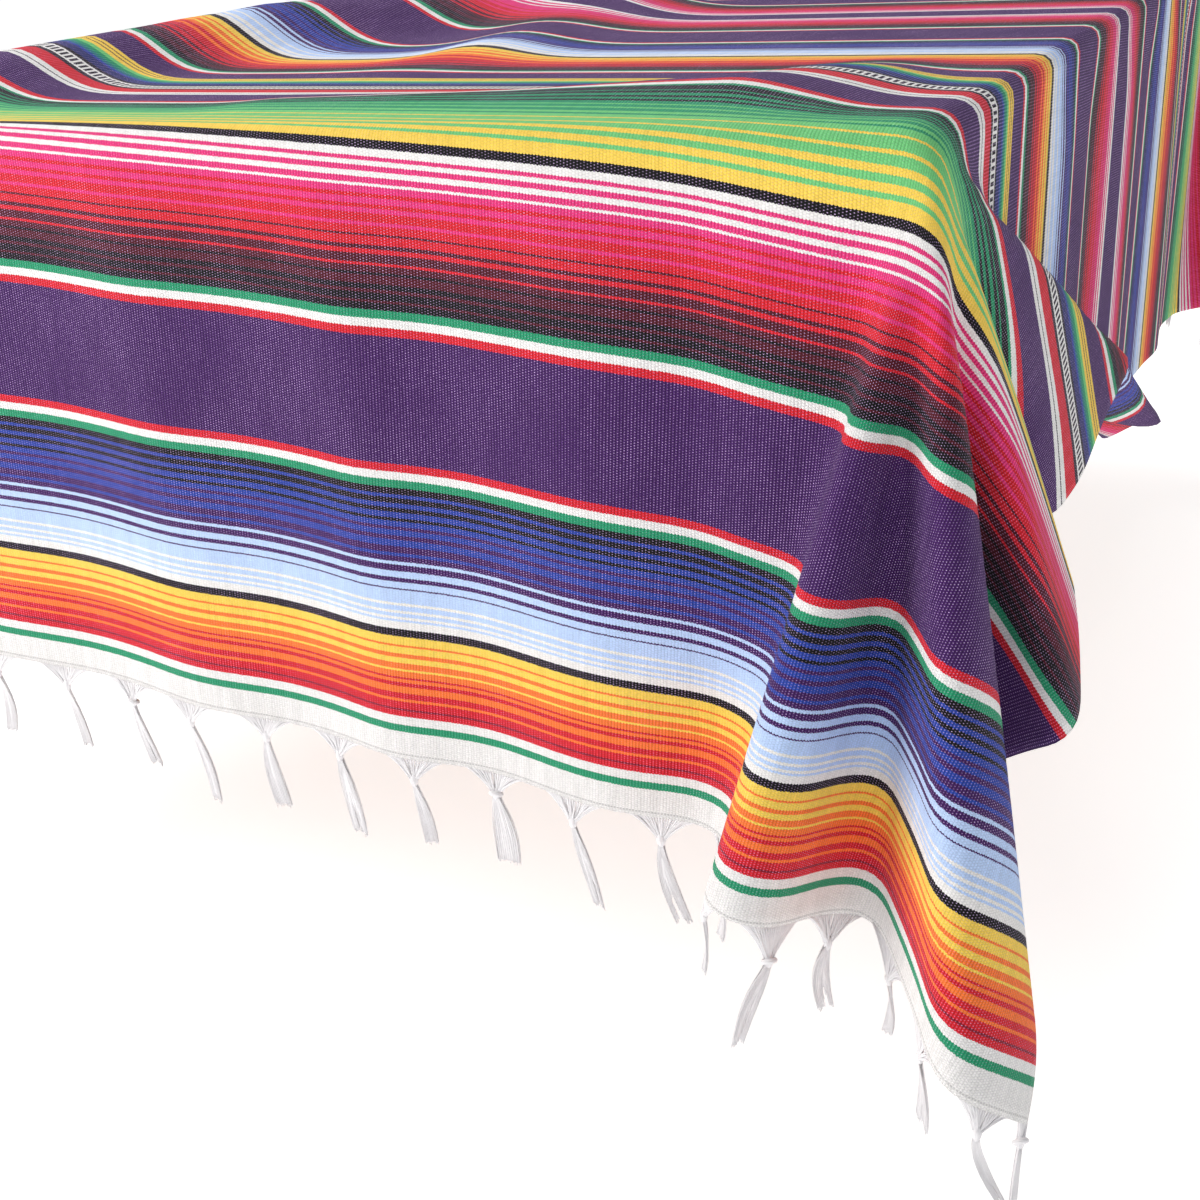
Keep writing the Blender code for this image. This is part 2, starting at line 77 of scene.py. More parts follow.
# Sections of the cloth around a corner, from the end ridge to the side ridge. Each row is one ruling:
# side and end are its direction cosines outwards past the table's side and past its end, and give
# says whether the fold may grow to take up the cloth that is left over.
SIDE, END, GIVE = 0, 1, 2
SHARED_FOLDS = (
    (-1.000, 0.000, 0),
    (-0.940, 0.000, 0),
    (-0.770, 0.000, 0),
    (-0.570, 0.000, 0),
    (-0.420, 0.000, 0),
    (-0.330, 0.000, 0),
    (-0.268, 0.030, 0),
    (-0.245, 0.120, 0),
    (-0.232, 0.200, 0),
    (-0.190, 0.232, 0),
    (-0.140, 0.199, 0),
    (-0.103, 0.103, 0),
    (-0.072, 0.055, 0),
    (-0.038, 0.049, 0),
    (0.000, 0.095, 0),
    (0.042, 0.156, 0),
    (0.078, 0.212, 0),
    (0.110, 0.222, 0),
    (0.148, 0.175, 0),
    (0.163, 0.091, 0),
    (0.120, 0.000, 0),
    (0.050, -0.050, 0),
    (0.020, -0.090, 0),
    (0.060, -0.115, 0),
    (0.150, -0.100, 0),
    (0.215, -0.070, 0),
    (0.238, -0.110, 0),
    (0.233, -0.181, 0),
    (0.222, -0.258, 0),
    (0.205, -0.340, 0),
    (0.174, -0.430, 0),
    (0.090, -0.470, 0),
    (0.025, -0.485, 0),
    (0.020, -0.530, 0),
)
FRONT_CORNER = SHARED_FOLDS + (
    (0.060, -0.555, 0),
    (0.107, -0.575, 0),
    (0.128, -0.630, 0),
    (0.136, -0.672, 0),
    (0.136, -0.718, 0),
    (0.134, -0.765, 0),
    (0.132, -0.810, 0),
    (0.127, -0.850, 0),
    (0.108, -0.866, 0),
    (0.060, -0.866, 0),
    (0.020, -0.856, 0),
    (0.018, -0.842, 0),
    (0.050, -0.838, 1),
    (0.075, -0.845, 1),
    (0.060, -0.858, 1),
    (0.010, -0.866, 0),
    (0.000, -0.880, 0),
    (0.000, -0.910, 0),
    (0.000, -0.950, 0),
    (0.000, -1.000, 0),
)
BACK_CORNER = SHARED_FOLDS + (
    (0.100, -0.585, 1),
    (0.180, -0.630, 1),
    (0.210, -0.690, 1),
    (0.150, -0.730, 1),
    (0.040, -0.740, 0),
    (0.000, -0.800, 0),
    (0.000, -0.880, 0),
    (0.000, -0.950, 0),
    (0.000, -1.000, 0),
)
PLAIN_CORNER = (
    (-1.000, 0.000, 0),
    (-0.940, 0.000, 0),
    (-0.770, 0.000, 0),
    (-0.570, 0.000, 0),
    (-0.420, 0.000, 0),
    (-0.300, 0.010, 0),
    (-0.220, 0.090, 0),
    (-0.160, 0.190, 1),
    (-0.090, 0.225, 1),
    (-0.030, 0.165, 0),
    (0.000, 0.080, 0),
    (0.035, 0.050, 0),
    (0.090, 0.130, 0),
    (0.150, 0.205, 0),
    (0.205, 0.170, 0),
    (0.200, 0.070, 0),
    (0.130, -0.020, 0),
    (0.050, -0.070, 0),
    (0.030, -0.110, 0),
    (0.100, -0.150, 0),
    (0.200, -0.170, 1),
    (0.250, -0.230, 1),
    (0.230, -0.320, 1),
    (0.130, -0.390, 0),
    (0.040, -0.420, 0),
    (0.020, -0.470, 0),
    (0.090, -0.540, 0),
    (0.150, -0.600, 1),
    (0.150, -0.670, 1),
    (0.080, -0.730, 0),
    (0.000, -0.790, 0),
    (0.000, -0.880, 0),
    (0.000, -0.950, 0),
    (0.000, -1.000, 0),
)

# Low rumples of the cloth on the table top. Each is a run of crest points: x, y, height, half width
RUMPLE_FADE = 0.070
RUMPLES = {
    "left": (
        (-0.235, -0.590, 0.014, 0.045),
        (-0.225, -0.520, 0.028, 0.045),
        (-0.215, -0.400, 0.031, 0.040),
        (-0.185, -0.250, 0.037, 0.045),
        (-0.130, -0.110, 0.034, 0.050),
        (-0.050, 0.050, 0.020, 0.060),
        (0.020, 0.170, 0.000, 0.060),
    ),
    "middle": (
        (0.030, -0.390, 0.002, 0.050),
        (0.045, -0.320, 0.010, 0.045),
        (0.030, -0.230, 0.010, 0.050),
        (0.000, -0.100, 0.010, 0.060),
        (-0.010, 0.000, 0.016, 0.060),
        (0.000, 0.150, 0.000, 0.060),
    ),
    "front": (
        (0.050, -0.585, 0.004, 0.040),
        (0.200, -0.582, 0.008, 0.045),
        (0.330, -0.575, 0.014, 0.055),
        (0.360, -0.490, 0.010, 0.050),
        (0.360, -0.430, 0.004, 0.040),
    ),
    "back": (
        (-0.300, 0.180, 0.000, 0.050),
        (-0.080, 0.330, 0.018, 0.055),
        (0.140, 0.420, 0.000, 0.060),
    ),
}


# Curve of rulings around one corner


def through_points(points, steps=24):
    """A smooth curve through the points (Catmull-Rom)."""
    rows = np.vstack([2 * points[0] - points[1], points, 2 * points[-1] - points[-2]])
    t = np.linspace(0.0, 1.0, steps, endpoint=False)[:, None]
    pieces = []
    for i in range(len(points) - 1):
        a, b, c, d = rows[i : i + 4]
        bend = (c - a) * t + (2 * a - 5 * b + 4 * c - d) * t**2 + (3 * b - a - 3 * c + d) * t**3
        pieces.append(b + bend / 2)
    pieces.append(points[-1:])
    return np.vstack(pieces)


def rulings_at(rows, growth):
    """The unit rulings of one corner, and the flat angle at which each lies on the uncut cloth."""
    table = np.array(rows, float)
    outwards = table[:, : END + 1].copy()
    outwards[:, SIDE] *= 1.0 + (growth - 1.0) * table[:, GIVE]
    outwards = through_points(outwards)
    down = -np.sqrt(np.clip(1.0 - (outwards**2).sum(axis=1), 0.0, None))
    ruling = np.column_stack([outwards, down])
    ruling /= np.linalg.norm(ruling, axis=1)[:, None]
    chord = np.linalg.norm(np.diff(ruling, axis=0), axis=1)
    angle = np.concatenate([[0.0], np.cumsum(2.0 * np.arcsin(chord / 2.0))])
    return angle, ruling


def corner_rulings(rows):
    """Grow the folds until the rulings turn through the angle that the flat cloth has there."""
    low, high = 0.0, MOST_GROWTH
    for _ in range(HALVINGS):
        growth = (low + high) / 2.0
        angle, ruling = rulings_at(rows, growth)
        if angle[-1] < CORNER_ANGLE:
            low = growth
        else:
            high = growth
    return angle, ruling


def swapped_rulings(rows):
    """The same folds with the table's side and end changed over."""
    angle, ruling = corner_rulings(rows)
    return CORNER_ANGLE - angle[::-1], ruling[::-1][:, [END, SIDE, 2]]


# Corner by its signs along X and Y
CORNERS = {
    (1, -1): corner_rulings(FRONT_CORNER),
    (-1, -1): corner_rulings(PLAIN_CORNER),
    (1, 1): swapped_rulings(PLAIN_CORNER),
    (-1, 1): swapped_rulings(BACK_CORNER),
}


# The drape: a point of the flat cloth to its place in space


def table_from_cloth(u, v):
    """Where a point of the flat cloth would lie if the table top went on for ever."""
    x = SHIFT_X + u * math.cos(TURN) + v * math.sin(TURN)
    y = SHIFT_Y - u * math.sin(TURN) + v * math.cos(TURN)
    return x, y


def sharp_drape(x, y):
    """The cloth folded sharply over the table's edges, middle of its wall."""
    lift = GAP + WALL / 2.0
    half_x, half_y, top = TABLE_WIDTH / 2 + lift, TABLE_LENGTH / 2 + lift, TABLE_HEIGHT + lift
    place = np.stack([x, y, np.full_like(x, top)], axis=-1)
    for (sign_x, sign_y), (angle, ruling) in CORNERS.items():
        out_x, out_y = sign_x * x - half_x, sign_y * y - half_y
        here = (sign_x * x >= 0) & (sign_y * y >= 0) & ((out_x > 0) | (out_y > 0))
        turn = np.mod(np.arctan2(out_y, -out_x), 2 * math.pi)
        reach = np.hypot(out_x, out_y)
        side, end, down = (np.interp(turn, angle, ruling[:, k]) for k in range(3))
        hung = np.stack(
            [sign_x * (half_x + reach * side), sign_y * (half_y + reach * end), top + reach * down],
            axis=-1,
        )
        place[here] = hung[here]
    return place


def disc_samples(count=32):
    """Points spread evenly over a unit disc, along a spiral with the golden angle."""
    step = np.arange(count)
    turn = step * math.pi * (3.0 - math.sqrt(5.0))
    radius = np.sqrt((step + 0.5) / count)
    return list(zip(radius * np.cos(turn), radius * np.sin(turn)))


def smooth(share):
    """A share from 0 to 1 eased at both ends."""
    return share * share * (3.0 - 2.0 * share)


def rumple_height(x, y):
    """Height of the low rumples, which die out towards the table's edges."""
    height = np.zeros_like(x)
    for run in RUMPLES.values():
        nearest, rise = np.full_like(x, np.inf), np.zeros_like(x)
        for (x0, y0, tall0, half0), (x1, y1, tall1, half1) in zip(run[:-1], run[1:]):
            share = ((x - x0) * (x1 - x0) + (y - y0) * (y1 - y0)) / ((x1 - x0) ** 2 + (y1 - y0) ** 2)
            share = np.clip(share, 0.0, 1.0)
            off = np.hypot(x - x0 - share * (x1 - x0), y - y0 - share * (y1 - y0))
            half, tall = half0 + share * (half1 - half0), tall0 + share * (tall1 - tall0)
            rise = np.where(off < nearest, tall * np.exp(-((off / half) ** 2)), rise)
            nearest = np.minimum(nearest, off)
        height += rise
    inside_x = np.clip((TABLE_WIDTH / 2 - np.abs(x)) / RUMPLE_FADE, 0.0, 1.0)
    inside_y = np.clip((TABLE_LENGTH / 2 - np.abs(y)) / RUMPLE_FADE, 0.0, 1.0)
    return height * smooth(inside_x * inside_y)


def drape(x, y):
    """The draped cloth: the sharp drape with its ridges rounded, and the rumples."""
    to_corner = np.hypot(np.abs(x) - TABLE_WIDTH / 2, np.abs(y) - TABLE_LENGTH / 2)
    radius = RIDGE_ROUNDING + CORNER_ROUNDING * np.exp(-((to_corner / CORNER_REACH) ** 2))
    samples = disc_samples()
    place = sum(sharp_drape(x + radius * dx, y + radius * dy) for dx, dy in samples) / len(samples)
    place[..., 2] += rumple_height(x, y)
    return place


# Woven panel

# Spans of the mesh's lines: first, last and step, across the cloth and along it
COLUMNS = ((-0.75, 0.15, 0.010), (0.15, 0.75, 0.006))
ROWS = ((-0.99, -0.40, 0.006), (-0.40, 0.99, 0.011))
SHELL = 0.0016

# Soft creases of the hanging sides. Each is one trough or ridge that runs from the table's edge to the
# hem: place along the edge, place at the hem, height (a trough is below zero) and half width
CREASES = {
    "front": (
        (-0.400, -0.440, 0.0030, 0.040),
        (-0.290, -0.310, -0.0030, 0.045),
        (-0.180, -0.200, 0.0030, 0.040),
        (-0.100, -0.110, -0.0030, 0.040),
        (-0.025, -0.020, 0.0042, 0.034),
        (0.045, 0.050, -0.0018, 0.030),
        (0.118, 0.122, 0.0044, 0.026),
        (0.178, 0.190, -0.0030, 0.030),
        (0.262, 0.262, 0.0036, 0.034),
        (0.330, 0.330, -0.0040, 0.026),
    ),
    "back": (
        (-0.310, -0.350, 0.0040, 0.050),
        (-0.180, -0.160, -0.0040, 0.040),
        (-0.060, -0.080, 0.0040, 0.040),
        (0.080, 0.060, -0.0040, 0.050),
        (0.200, 0.230, 0.0040, 0.040),
        (0.310, 0.330, -0.0030, 0.040),
    ),
    "left": (
        (-0.480, -0.520, 0.0040, 0.050),
        (-0.330, -0.310, -0.0040, 0.045),
        (-0.170, -0.190, 0.0040, 0.045),
        (-0.020, 0.010, -0.0040, 0.050),
        (0.130, 0.110, 0.0040, 0.040),
        (0.290, 0.320, -0.0040, 0.050),
        (0.430, 0.450, 0.0040, 0.045),
    ),
    "right": (
        (-0.310, -0.330, 0.0040, 0.045),
        (-0.170, -0.150, -0.0040, 0.045),
        (-0.020, -0.040, 0.0040, 0.050),
        (0.140, 0.120, -0.0040, 0.045),
        (0.280, 0.310, 0.0040, 0.045),
        (0.430, 0.450, -0.0040, 0.050),
    ),
}
# Drop over which a crease gains its height, drop where it has its hem's place, and distance from the
# end of a side over which it dies out
CREASE_FADE = 0.070
CREASE_DROP = 0.38
CREASE_CORNER = 0.06
# Share of its half width and of its height that a crease has at the table's edge, and gains by the hem
CREASE_SPREAD = (0.8, 0.4)
CREASE_RISE = (0.75, 0.55)

# The stripes' sag beside the front corner: depth, middle and reach on the flat cloth
SLIP = 0.016
SLIP_MIDDLE = (0.465, -0.745)
SLIP_REACH = (0.11, 0.19)


def mesh_lines(spans):
    lines = []
    for first, last, step in spans:
        count = round((last - first) / step)
        lines += [first + (last - first) * k / count for k in range(count)]
    return np.array(lines + [spans[-1][1]])


def crease_height(rows, along, drop):
    """How far the creases of one side push the cloth out, at a place along its edge and below it."""
    share = np.clip(drop / CREASE_DROP, 0.0, 1.0)
    height = np.zeros_like(along)
    for top, hem, tall, half in rows:
        wide = half * (CREASE_SPREAD[0] + CREASE_SPREAD[1] * share)
        off = (along - top - (hem - top) * share) / wide
        height += tall * (CREASE_RISE[0] + CREASE_RISE[1] * share) * np.exp(-off * off)
    return height * smooth(np.clip(drop / CREASE_FADE, 0.0, 1.0))


def place_cloth(u, v):
    """Points of the flat cloth to their places in the part's frame."""
    x, y = table_from_cloth(u, v)
    place = drape(x, y)
    drop = np.maximum(TABLE_HEIGHT - place[..., 2], 0.0)
    over_x, over_y = np.abs(x) - TABLE_WIDTH / 2, np.abs(y) - TABLE_LENGTH / 2
    for name, axis, sign, over, other in (
        ("front", 1, -1, over_y, over_x),
        ("back", 1, 1, over_y, over_x),
        ("left", 0, -1, over_x, over_y),
        ("right", 0, 1, over_x, over_y),
    ):
        flat = (x, y)[axis] * sign
        share = np.clip(-other / CREASE_CORNER, 0.0, 1.0) * (over > 0) * (flat > 0)
        height = crease_height(CREASES[name], place[..., 1 - axis], drop)
        place[..., axis] += sign * share * height
    place[..., 0] += CENTRE_X
    place[..., 1] += CENTRE_Y
    return place


def stripe_slip(u, v):
    """How far the stripes sag towards the hem beside the ridge of the front corner."""
    across = ((u - SLIP_MIDDLE[0]) / SLIP_REACH[0]) ** 2
    along = ((v - SLIP_MIDDLE[1]) / SLIP_REACH[1]) ** 4
    return SLIP * np.exp(-across - along)


def add_object(name, data):
    """Puts a mesh, a camera or a light into the scene."""
    item = bpy.data.objects.new(name, data)
    bpy.context.scene.collection.objects.link(item)
    return item


def add_smooth(name, mesh, material):
    mesh.shade_smooth()
    mesh.materials.append(material)
    return add_object(name, mesh)


def make_panel(material):
    """The woven cloth as a thin shell, with the flat cloth's own measures as its UV."""
    across, along = mesh_lines(COLUMNS), mesh_lines(ROWS)
    u, v = np.meshgrid(across, along, indexing="ij")
    place = place_cloth(u, v)
    columns, rows = u.shape
    index = np.arange(columns * rows).reshape(columns, rows)
    faces = np.stack([index[:-1, :-1], index[1:, :-1], index[1:, 1:], index[:-1, 1:]], axis=-1)
    mesh = bpy.data.meshes.new("woven_panel")
    mesh.from_pydata(place.reshape(-1, 3), [], faces.reshape(-1, 4).tolist())
    flat = np.stack([u.ravel(), (v + stripe_slip(u, v)).ravel()], axis=-1)
    corners = np.empty(len(mesh.loops), dtype=np.int32)
    mesh.loops.foreach_get("vertex_index", corners)
    layer = mesh.uv_layers.new(name="cloth")
    layer.data.foreach_set("uv", flat[corners].ravel())
    panel = add_smooth("woven_panel", mesh, material)
    shell = panel.modifiers.new("shell", "SOLIDIFY")
    shell.thickness = SHELL
    shell.offset = 0.0
    return panel


# Shader helpers


class Shader:
    """A short way to build a node material."""

    def __init__(self, name):
        self.material = bpy.data.materials.new(name)
        self.material.use_nodes = True
        self.tree = self.material.node_tree
        self.principled = self.tree.nodes["Principled BSDF"]

    def add(self, kind, **values):
        node = self.tree.nodes.new(kind)
        for key, value in values.items():
            setattr(node, key, value)
        return node

    def plug(self, target, value):
        """Links a socket to the target, or sets the target to a plain value."""
        if isinstance(value, bpy.types.NodeSocket):
            self.tree.links.new(value, target)
        else:
            target.default_value = value

    def math(self, operation, *values):
        node = self.add("ShaderNodeMath", operation=operation)
        for socket, value in zip(node.inputs, values):
            self.plug(socket, value)
        return node.outputs[0]

    def product(self, first, *others):
        for value in others:
            first = self.math("MULTIPLY", first, value)
        return first

    def mix(self, share, one, two, blend="MIX"):
        node = self.add("ShaderNodeMix", data_type="RGBA", blend_type=blend)
        self.plug(node.inputs["Factor"], share)
        self.plug(node.inputs[6], one)
        self.plug(node.inputs[7], two)
        return node.outputs[2]

    def noise(self, vector, scale, detail=2.0, roughness=0.5):
        node = self.add("ShaderNodeTexNoise")
        self.plug(node.inputs["Vector"], vector)
        node.inputs["Scale"].default_value = scale
        node.inputs["Detail"].default_value = detail
        node.inputs["Roughness"].default_value = roughness
        return node.outputs["Fac"]

    def span(self, value, low, high, to_low=0.0, to_high=1.0):
        """Takes a value from one range to another, and no further."""
        node = self.add("ShaderNodeMapRange", clamp=True)
        for socket, item in zip(node.inputs, (value, low, high, to_low, to_high)):
            self.plug(socket, item)
        return node.outputs[0]

    def combine(self, x, y, z=0.0):
        node = self.add("ShaderNodeCombineXYZ")
        for socket, value in zip(node.inputs, (x, y, z)):
            self.plug(socket, value)
        return node.outputs[0]

    def stretched(self, vector, scale):
        node = self.add("ShaderNodeMapping")
        self.plug(node.inputs[0], vector)
        node.inputs["Scale"].default_value = scale
        return node.outputs[0]

    def bump(self, height, strength, distance):
        node = self.add("ShaderNodeBump")
        self.plug(node.inputs["Height"], height)
        node.inputs["Strength"].default_value = strength
        node.inputs["Distance"].default_value = distance
        self.tree.links.new(node.outputs["Normal"], self.principled.inputs["Normal"])

    def surface(self, colour, **values):
        """Sets the surface's colour, and its other sockets by their names in lower case."""
        self.plug(self.principled.inputs["Base Color"], colour)
        for socket in self.principled.inputs:
            key = socket.name.lower().replace(" ", "_")
            if key in values:
                socket.default_value = values[key]


def linear(*bytes_of_colour):
    """A colour given as it shows on a screen, 0 to 255, in the light values that shaders take."""
    shares = [value / 255.0 for value in bytes_of_colour]
    return tuple(s / 12.92 if s <= 0.04045 else ((s + 0.055) / 1.055) ** 2.4 for s in shares) + (1.0,)


# Stripes of the weave from the hem to the middle: colour and width, in a unit of which STRIPE_UNITS
# make half the cloth's length. The other half is the mirror image.
STRIPE_UNITS = 91.8
STRIPES = """
white 1.75 green .45 white .57
red .36 dark_red .15 red .43 orange .18 red .40 orange .40 red .25 orange .22 red .14 orange .36
yellow .14 orange .36 yellow .36 orange .22 yellow .43 orange .14 yellow .50 black .45
white .48 light_blue .12 white .18 light_blue .18 white .18 light_blue .30 white .18 light_blue .80
purple .09 light_blue .33 purple .27 light_blue .39 purple .36 light_blue .21 purple .33 blue .15
purple .42 blue .36 purple .24 blue .36 purple .18 blue .33 black .15 blue .36 black .24 blue .27
black .30 blue .21 black .39
green .42 white .46 red .42 purple 6.9 red .42 white .48 green .45
black .37 maroon .10 black .44 maroon .17 black .27 maroon .42 black .17 maroon .34 red .12
maroon .44 red .27 maroon .20 red .42 maroon .12 red .42 pink .17 red .44 pink .25 red .20
pink .30 red .20 pink .36 white .14 pink .30 white .28 pink .27 white .26 pink .18 white .40
black .45
yellow .60 light_green .24 yellow .40 light_green .34 yellow .30 light_green .52 yellow .17
light_green .70 yellow .15 light_green .48 green .23 light_green .28 green .35 light_green .14
green .28 light_green .1 green .28 black .21 green .21 black .21 green .21 black .28 green .1
black .42 green .2
white .4 red .5 purple 2.8 white .4 black .1 white .5 red 1.3 black .4 check 1.1 black .3
dark_blue .8 blue .3 teal .3 green .4 light_green .4 yellow .4 brown .08 yellow .3 brown .08
yellow .34 purple 2.5
red .42 white .48 green .45
black .6 maroon .5 black .2 maroon .5 red .2 maroon .3 red .5 maroon .1 red .8 orange .3 red .4
orange .5 yellow .2 orange .5 yellow .3 orange .2 yellow .6 black .5
white .6 light_blue .2 white .4 light_blue .6 white .2 light_blue .8 purple .1 light_blue .4
purple .3 light_blue .3 purple .4 blue .3 purple .3 blue .5 purple .15 blue .5 black .2 blue .3
black .3 blue .15 black .5
green .42 white .46 red .42 purple 6.9 red .42 white .48 green .45
black .5 maroon .2 black .5 maroon .5 black .2 maroon .5 red .2 maroon .4 red .4 maroon .2 red .8
pink .2 red .5 pink .4 red .2 pink 1.0 white .2 pink .4 white .3 pink .3 white .5 purple 1.4
"""
HUES = {
    "white": (232, 230, 228),
    "green": (34, 150, 106),
    "red": (216, 28, 42),
    "dark_red": (140, 22, 45),
    "orange": (248, 120, 50),
    "yellow": (240, 203, 84),
    "black": (11, 11, 13),
    "light_blue": (185, 208, 245),
    "purple": (66, 26, 94),
    "blue": (40, 68, 165),
    "maroon": (84, 16, 32),
    "pink": (228, 52, 122),
    "light_green": (112, 198, 122),
    "dark_blue": (30, 42, 110),
    "brown": (110, 72, 45),
    "teal": (30, 120, 130),
    "check": (128, 128, 128),
}
WARP_HUE = (222, 190, 240)
# Dark and light of the yarn and of the wood
YARN_HUES = ((222, 219, 222), (249, 247, 248))
WOOD_HUES = ((176, 132, 88), (202, 160, 112))
# Most stripes that one colour ramp takes
RAMP_STOPS = 30

# Pitch of the loops of weft along the cloth, of the ribs across it, and of the rungs of the check band
PICK_PITCH = 0.0015
RIB_PITCH = 0.00185
RUNG_PITCH = 0.0040
# White share of a rung's pitch, width of the white rail beside the rungs, and half the blur at its edge
RUNG_GAP = 0.45
RAIL = 0.0020
RAIL_BLUR = 0.0002
# Unevenness of the stripes' edges: at random, and with the ribs
WOBBLE_SCALE = 260.0
WOBBLE_DEPTH = 0.0007
RIB_MIDDLE = 0.6
RIB_DEPTH = 0.0005
# Scales of the noise in the cloth: worn patches, flecks, fuzz, and streaks across the ribs and along them
PATCH_SCALE = 16.0
FLECK_SCALE = 420.0
FUZZ_SCALE = 700.0
STREAK_SCALES = (220.0, 30.0)
# Powers that shape a loop's height across it and along it
LOOP_POWERS = (0.7, 0.5)
# Weight of the distances across and along a loop in the outline of a speck of warp
SPECK_WIDE = 0.9
SPECK_TALL = 1.2

# Ranges that the weave's noise and form are taken from and to: from low, from high, to low, to high
SPECK_EDGE = (0.14, 0.29, 1.0, 0.0)
SPECK_BY_PATCH = (0.32, 0.68, 0.42, 1.00)
SPECK_BY_FLECK = (0.3, 0.7, 0.35, 1.5)
SPECK_BY_STREAK = (0.3, 0.7, 0.75, 1.2)
SPECK_BY_LIGHTNESS = (0.03, 0.30, 1.0, 0.30)
# Painted shade in the grooves between the ribs: its depth by the yarn's lightness, and where across a rib
# it falls
GROOVE_SHADE_BY_LIGHTNESS = (0.05, 0.60, 0.50, 0.13)
GROOVE_SHADE_EDGE = (0.10, 0.75, 1.0, 0.0)
# Painted shade at the ends of each loop of weft, and slight painted light on its middle
SHADE_BY_PICK = (0.10, 0.60, 0.88, 1.03)
TONE_BY_FUZZ = (0.3, 0.7, 0.90, 1.08)
TONE_BY_STREAK = (0.3, 0.7, 0.94, 1.05)
# Painted shadow in a thin dotted line just above the hem: where it starts and ends, and its dots
HEM_SHADOW_START = (0.0022, 0.0028)
HEM_SHADOW_END = (0.0034, 0.0040, 1.0, 0.0)
HEM_SHADOW_DOTS = (0.2, 0.8)
# Slight painted light on the rib crests, above the yarn's own colour
RIB_CREST_LIGHT = 1.04
# Depth of the painted shadow line above the hem
HEM_SHADOW_TONE = -0.35


def stripe_table():
    """Start of each stripe from the hem, in metres, and its colour."""
    words = STRIPES.split()
    unit = CLOTH_LENGTH / 2 / STRIPE_UNITS
    start, rows = 0.0, []
    for name, width in zip(words[::2], words[1::2]):
        rows.append((start, name))
        start += float(width) * unit
    return rows, start


def check_span():
    """Where the band of black rungs on white starts and ends, from the hem."""
    rows, _ = stripe_table()
    for (start, name), (end, _) in zip(rows[:-1], rows[1:]):
        if name == "check":
            return start, end
    return 0.0, 0.0


def stripe_colour(shader, distance):
    """The stripes as a chain of colour ramps, each for a part of the way from hem to middle."""
    rows, end = stripe_table()
    colour = None
    for first in range(0, len(rows), RAMP_STOPS):
        group = rows[first : first + RAMP_STOPS]
        low = group[0][0]
        high = rows[first + RAMP_STOPS][0] if first + RAMP_STOPS < len(rows) else end
        ramp = shader.add("ShaderNodeValToRGB")
        ramp.color_ramp.interpolation = "CONSTANT"
        shader.plug(ramp.inputs[0], shader.span(distance, low, high))
        stops = ramp.color_ramp.elements
        while len(stops) > 1:
            stops.remove(stops[-1])
        stops[0].position = 0.0
        stops[0].color = linear(*HUES[group[0][1]])
        for start, name in group[1:]:
            stop = stops.new((start - low) / (high - low))
            stop.color = linear(*HUES[name])
        here = shader.math("GREATER_THAN", distance, low)
        colour = ramp.outputs[0] if colour is None else shader.mix(here, colour, ramp.outputs[0])
    return colour


def uneven_edge(shader, place, from_hem, round_u):
    """Distance from the hem with the stripes' edges made uneven, at random and with each rib."""
    wobble = shader.math("SUBTRACT", shader.noise(place, WOBBLE_SCALE), 0.5)
    edge = shader.math("MULTIPLY_ADD", wobble, WOBBLE_DEPTH, from_hem)
    bulge = shader.math("SUBTRACT", round_u, RIB_MIDDLE)
    return shader.math("MULTIPLY_ADD", bulge, RIB_DEPTH, edge)


def with_ladder(shader, colour, edge, u):
    """The stripes with the check band's black rungs between white rails."""
    low, high = check_span()
    turn = shader.math("FLOORED_MODULO", shader.math("DIVIDE", u, RUNG_PITCH), 1.0)
    rung = shader.math("GREATER_THAN", turn, RUNG_GAP)
    after = shader.span(edge, low + RAIL - RAIL_BLUR, low + RAIL + RAIL_BLUR)
    before = shader.span(edge, high - RAIL - RAIL_BLUR, high - RAIL + RAIL_BLUR, 1.0, 0.0)
    rung = shader.product(rung, shader.product(after, before))
    ladder = shader.mix(rung, linear(*HUES["white"]), linear(*HUES["black"]))
    past = shader.math("GREATER_THAN", edge, low)
    short = shader.math("LESS_THAN", edge, high)
    return shader.mix(shader.product(past, short), colour, ladder)


def warp_specks(shader, place, cells, streak, lightness):
    """How much of the light warp shows, as a small speck at the foot of each loop of weft."""
    off_u, off_v = (shader.math("ABSOLUTE", shader.math("SUBTRACT", cell, 0.5)) for cell in cells)
    off_v = shader.math("SUBTRACT", 0.5, off_v)
    reach = shader.math("ADD", shader.product(off_u, SPECK_WIDE), shader.product(off_v, SPECK_TALL))
    patch = shader.span(shader.noise(place, PATCH_SCALE, 3.0), *SPECK_BY_PATCH)
    fleck = shader.span(shader.noise(place, FLECK_SCALE, 1.0), *SPECK_BY_FLECK)
    by_streak = shader.span(streak, *SPECK_BY_STREAK)
    by_lightness = shader.span(lightness, *SPECK_BY_LIGHTNESS)
    strength = shader.product(patch, fleck, by_streak, by_lightness)
    return shader.product(shader.span(reach, *SPECK_EDGE), strength)


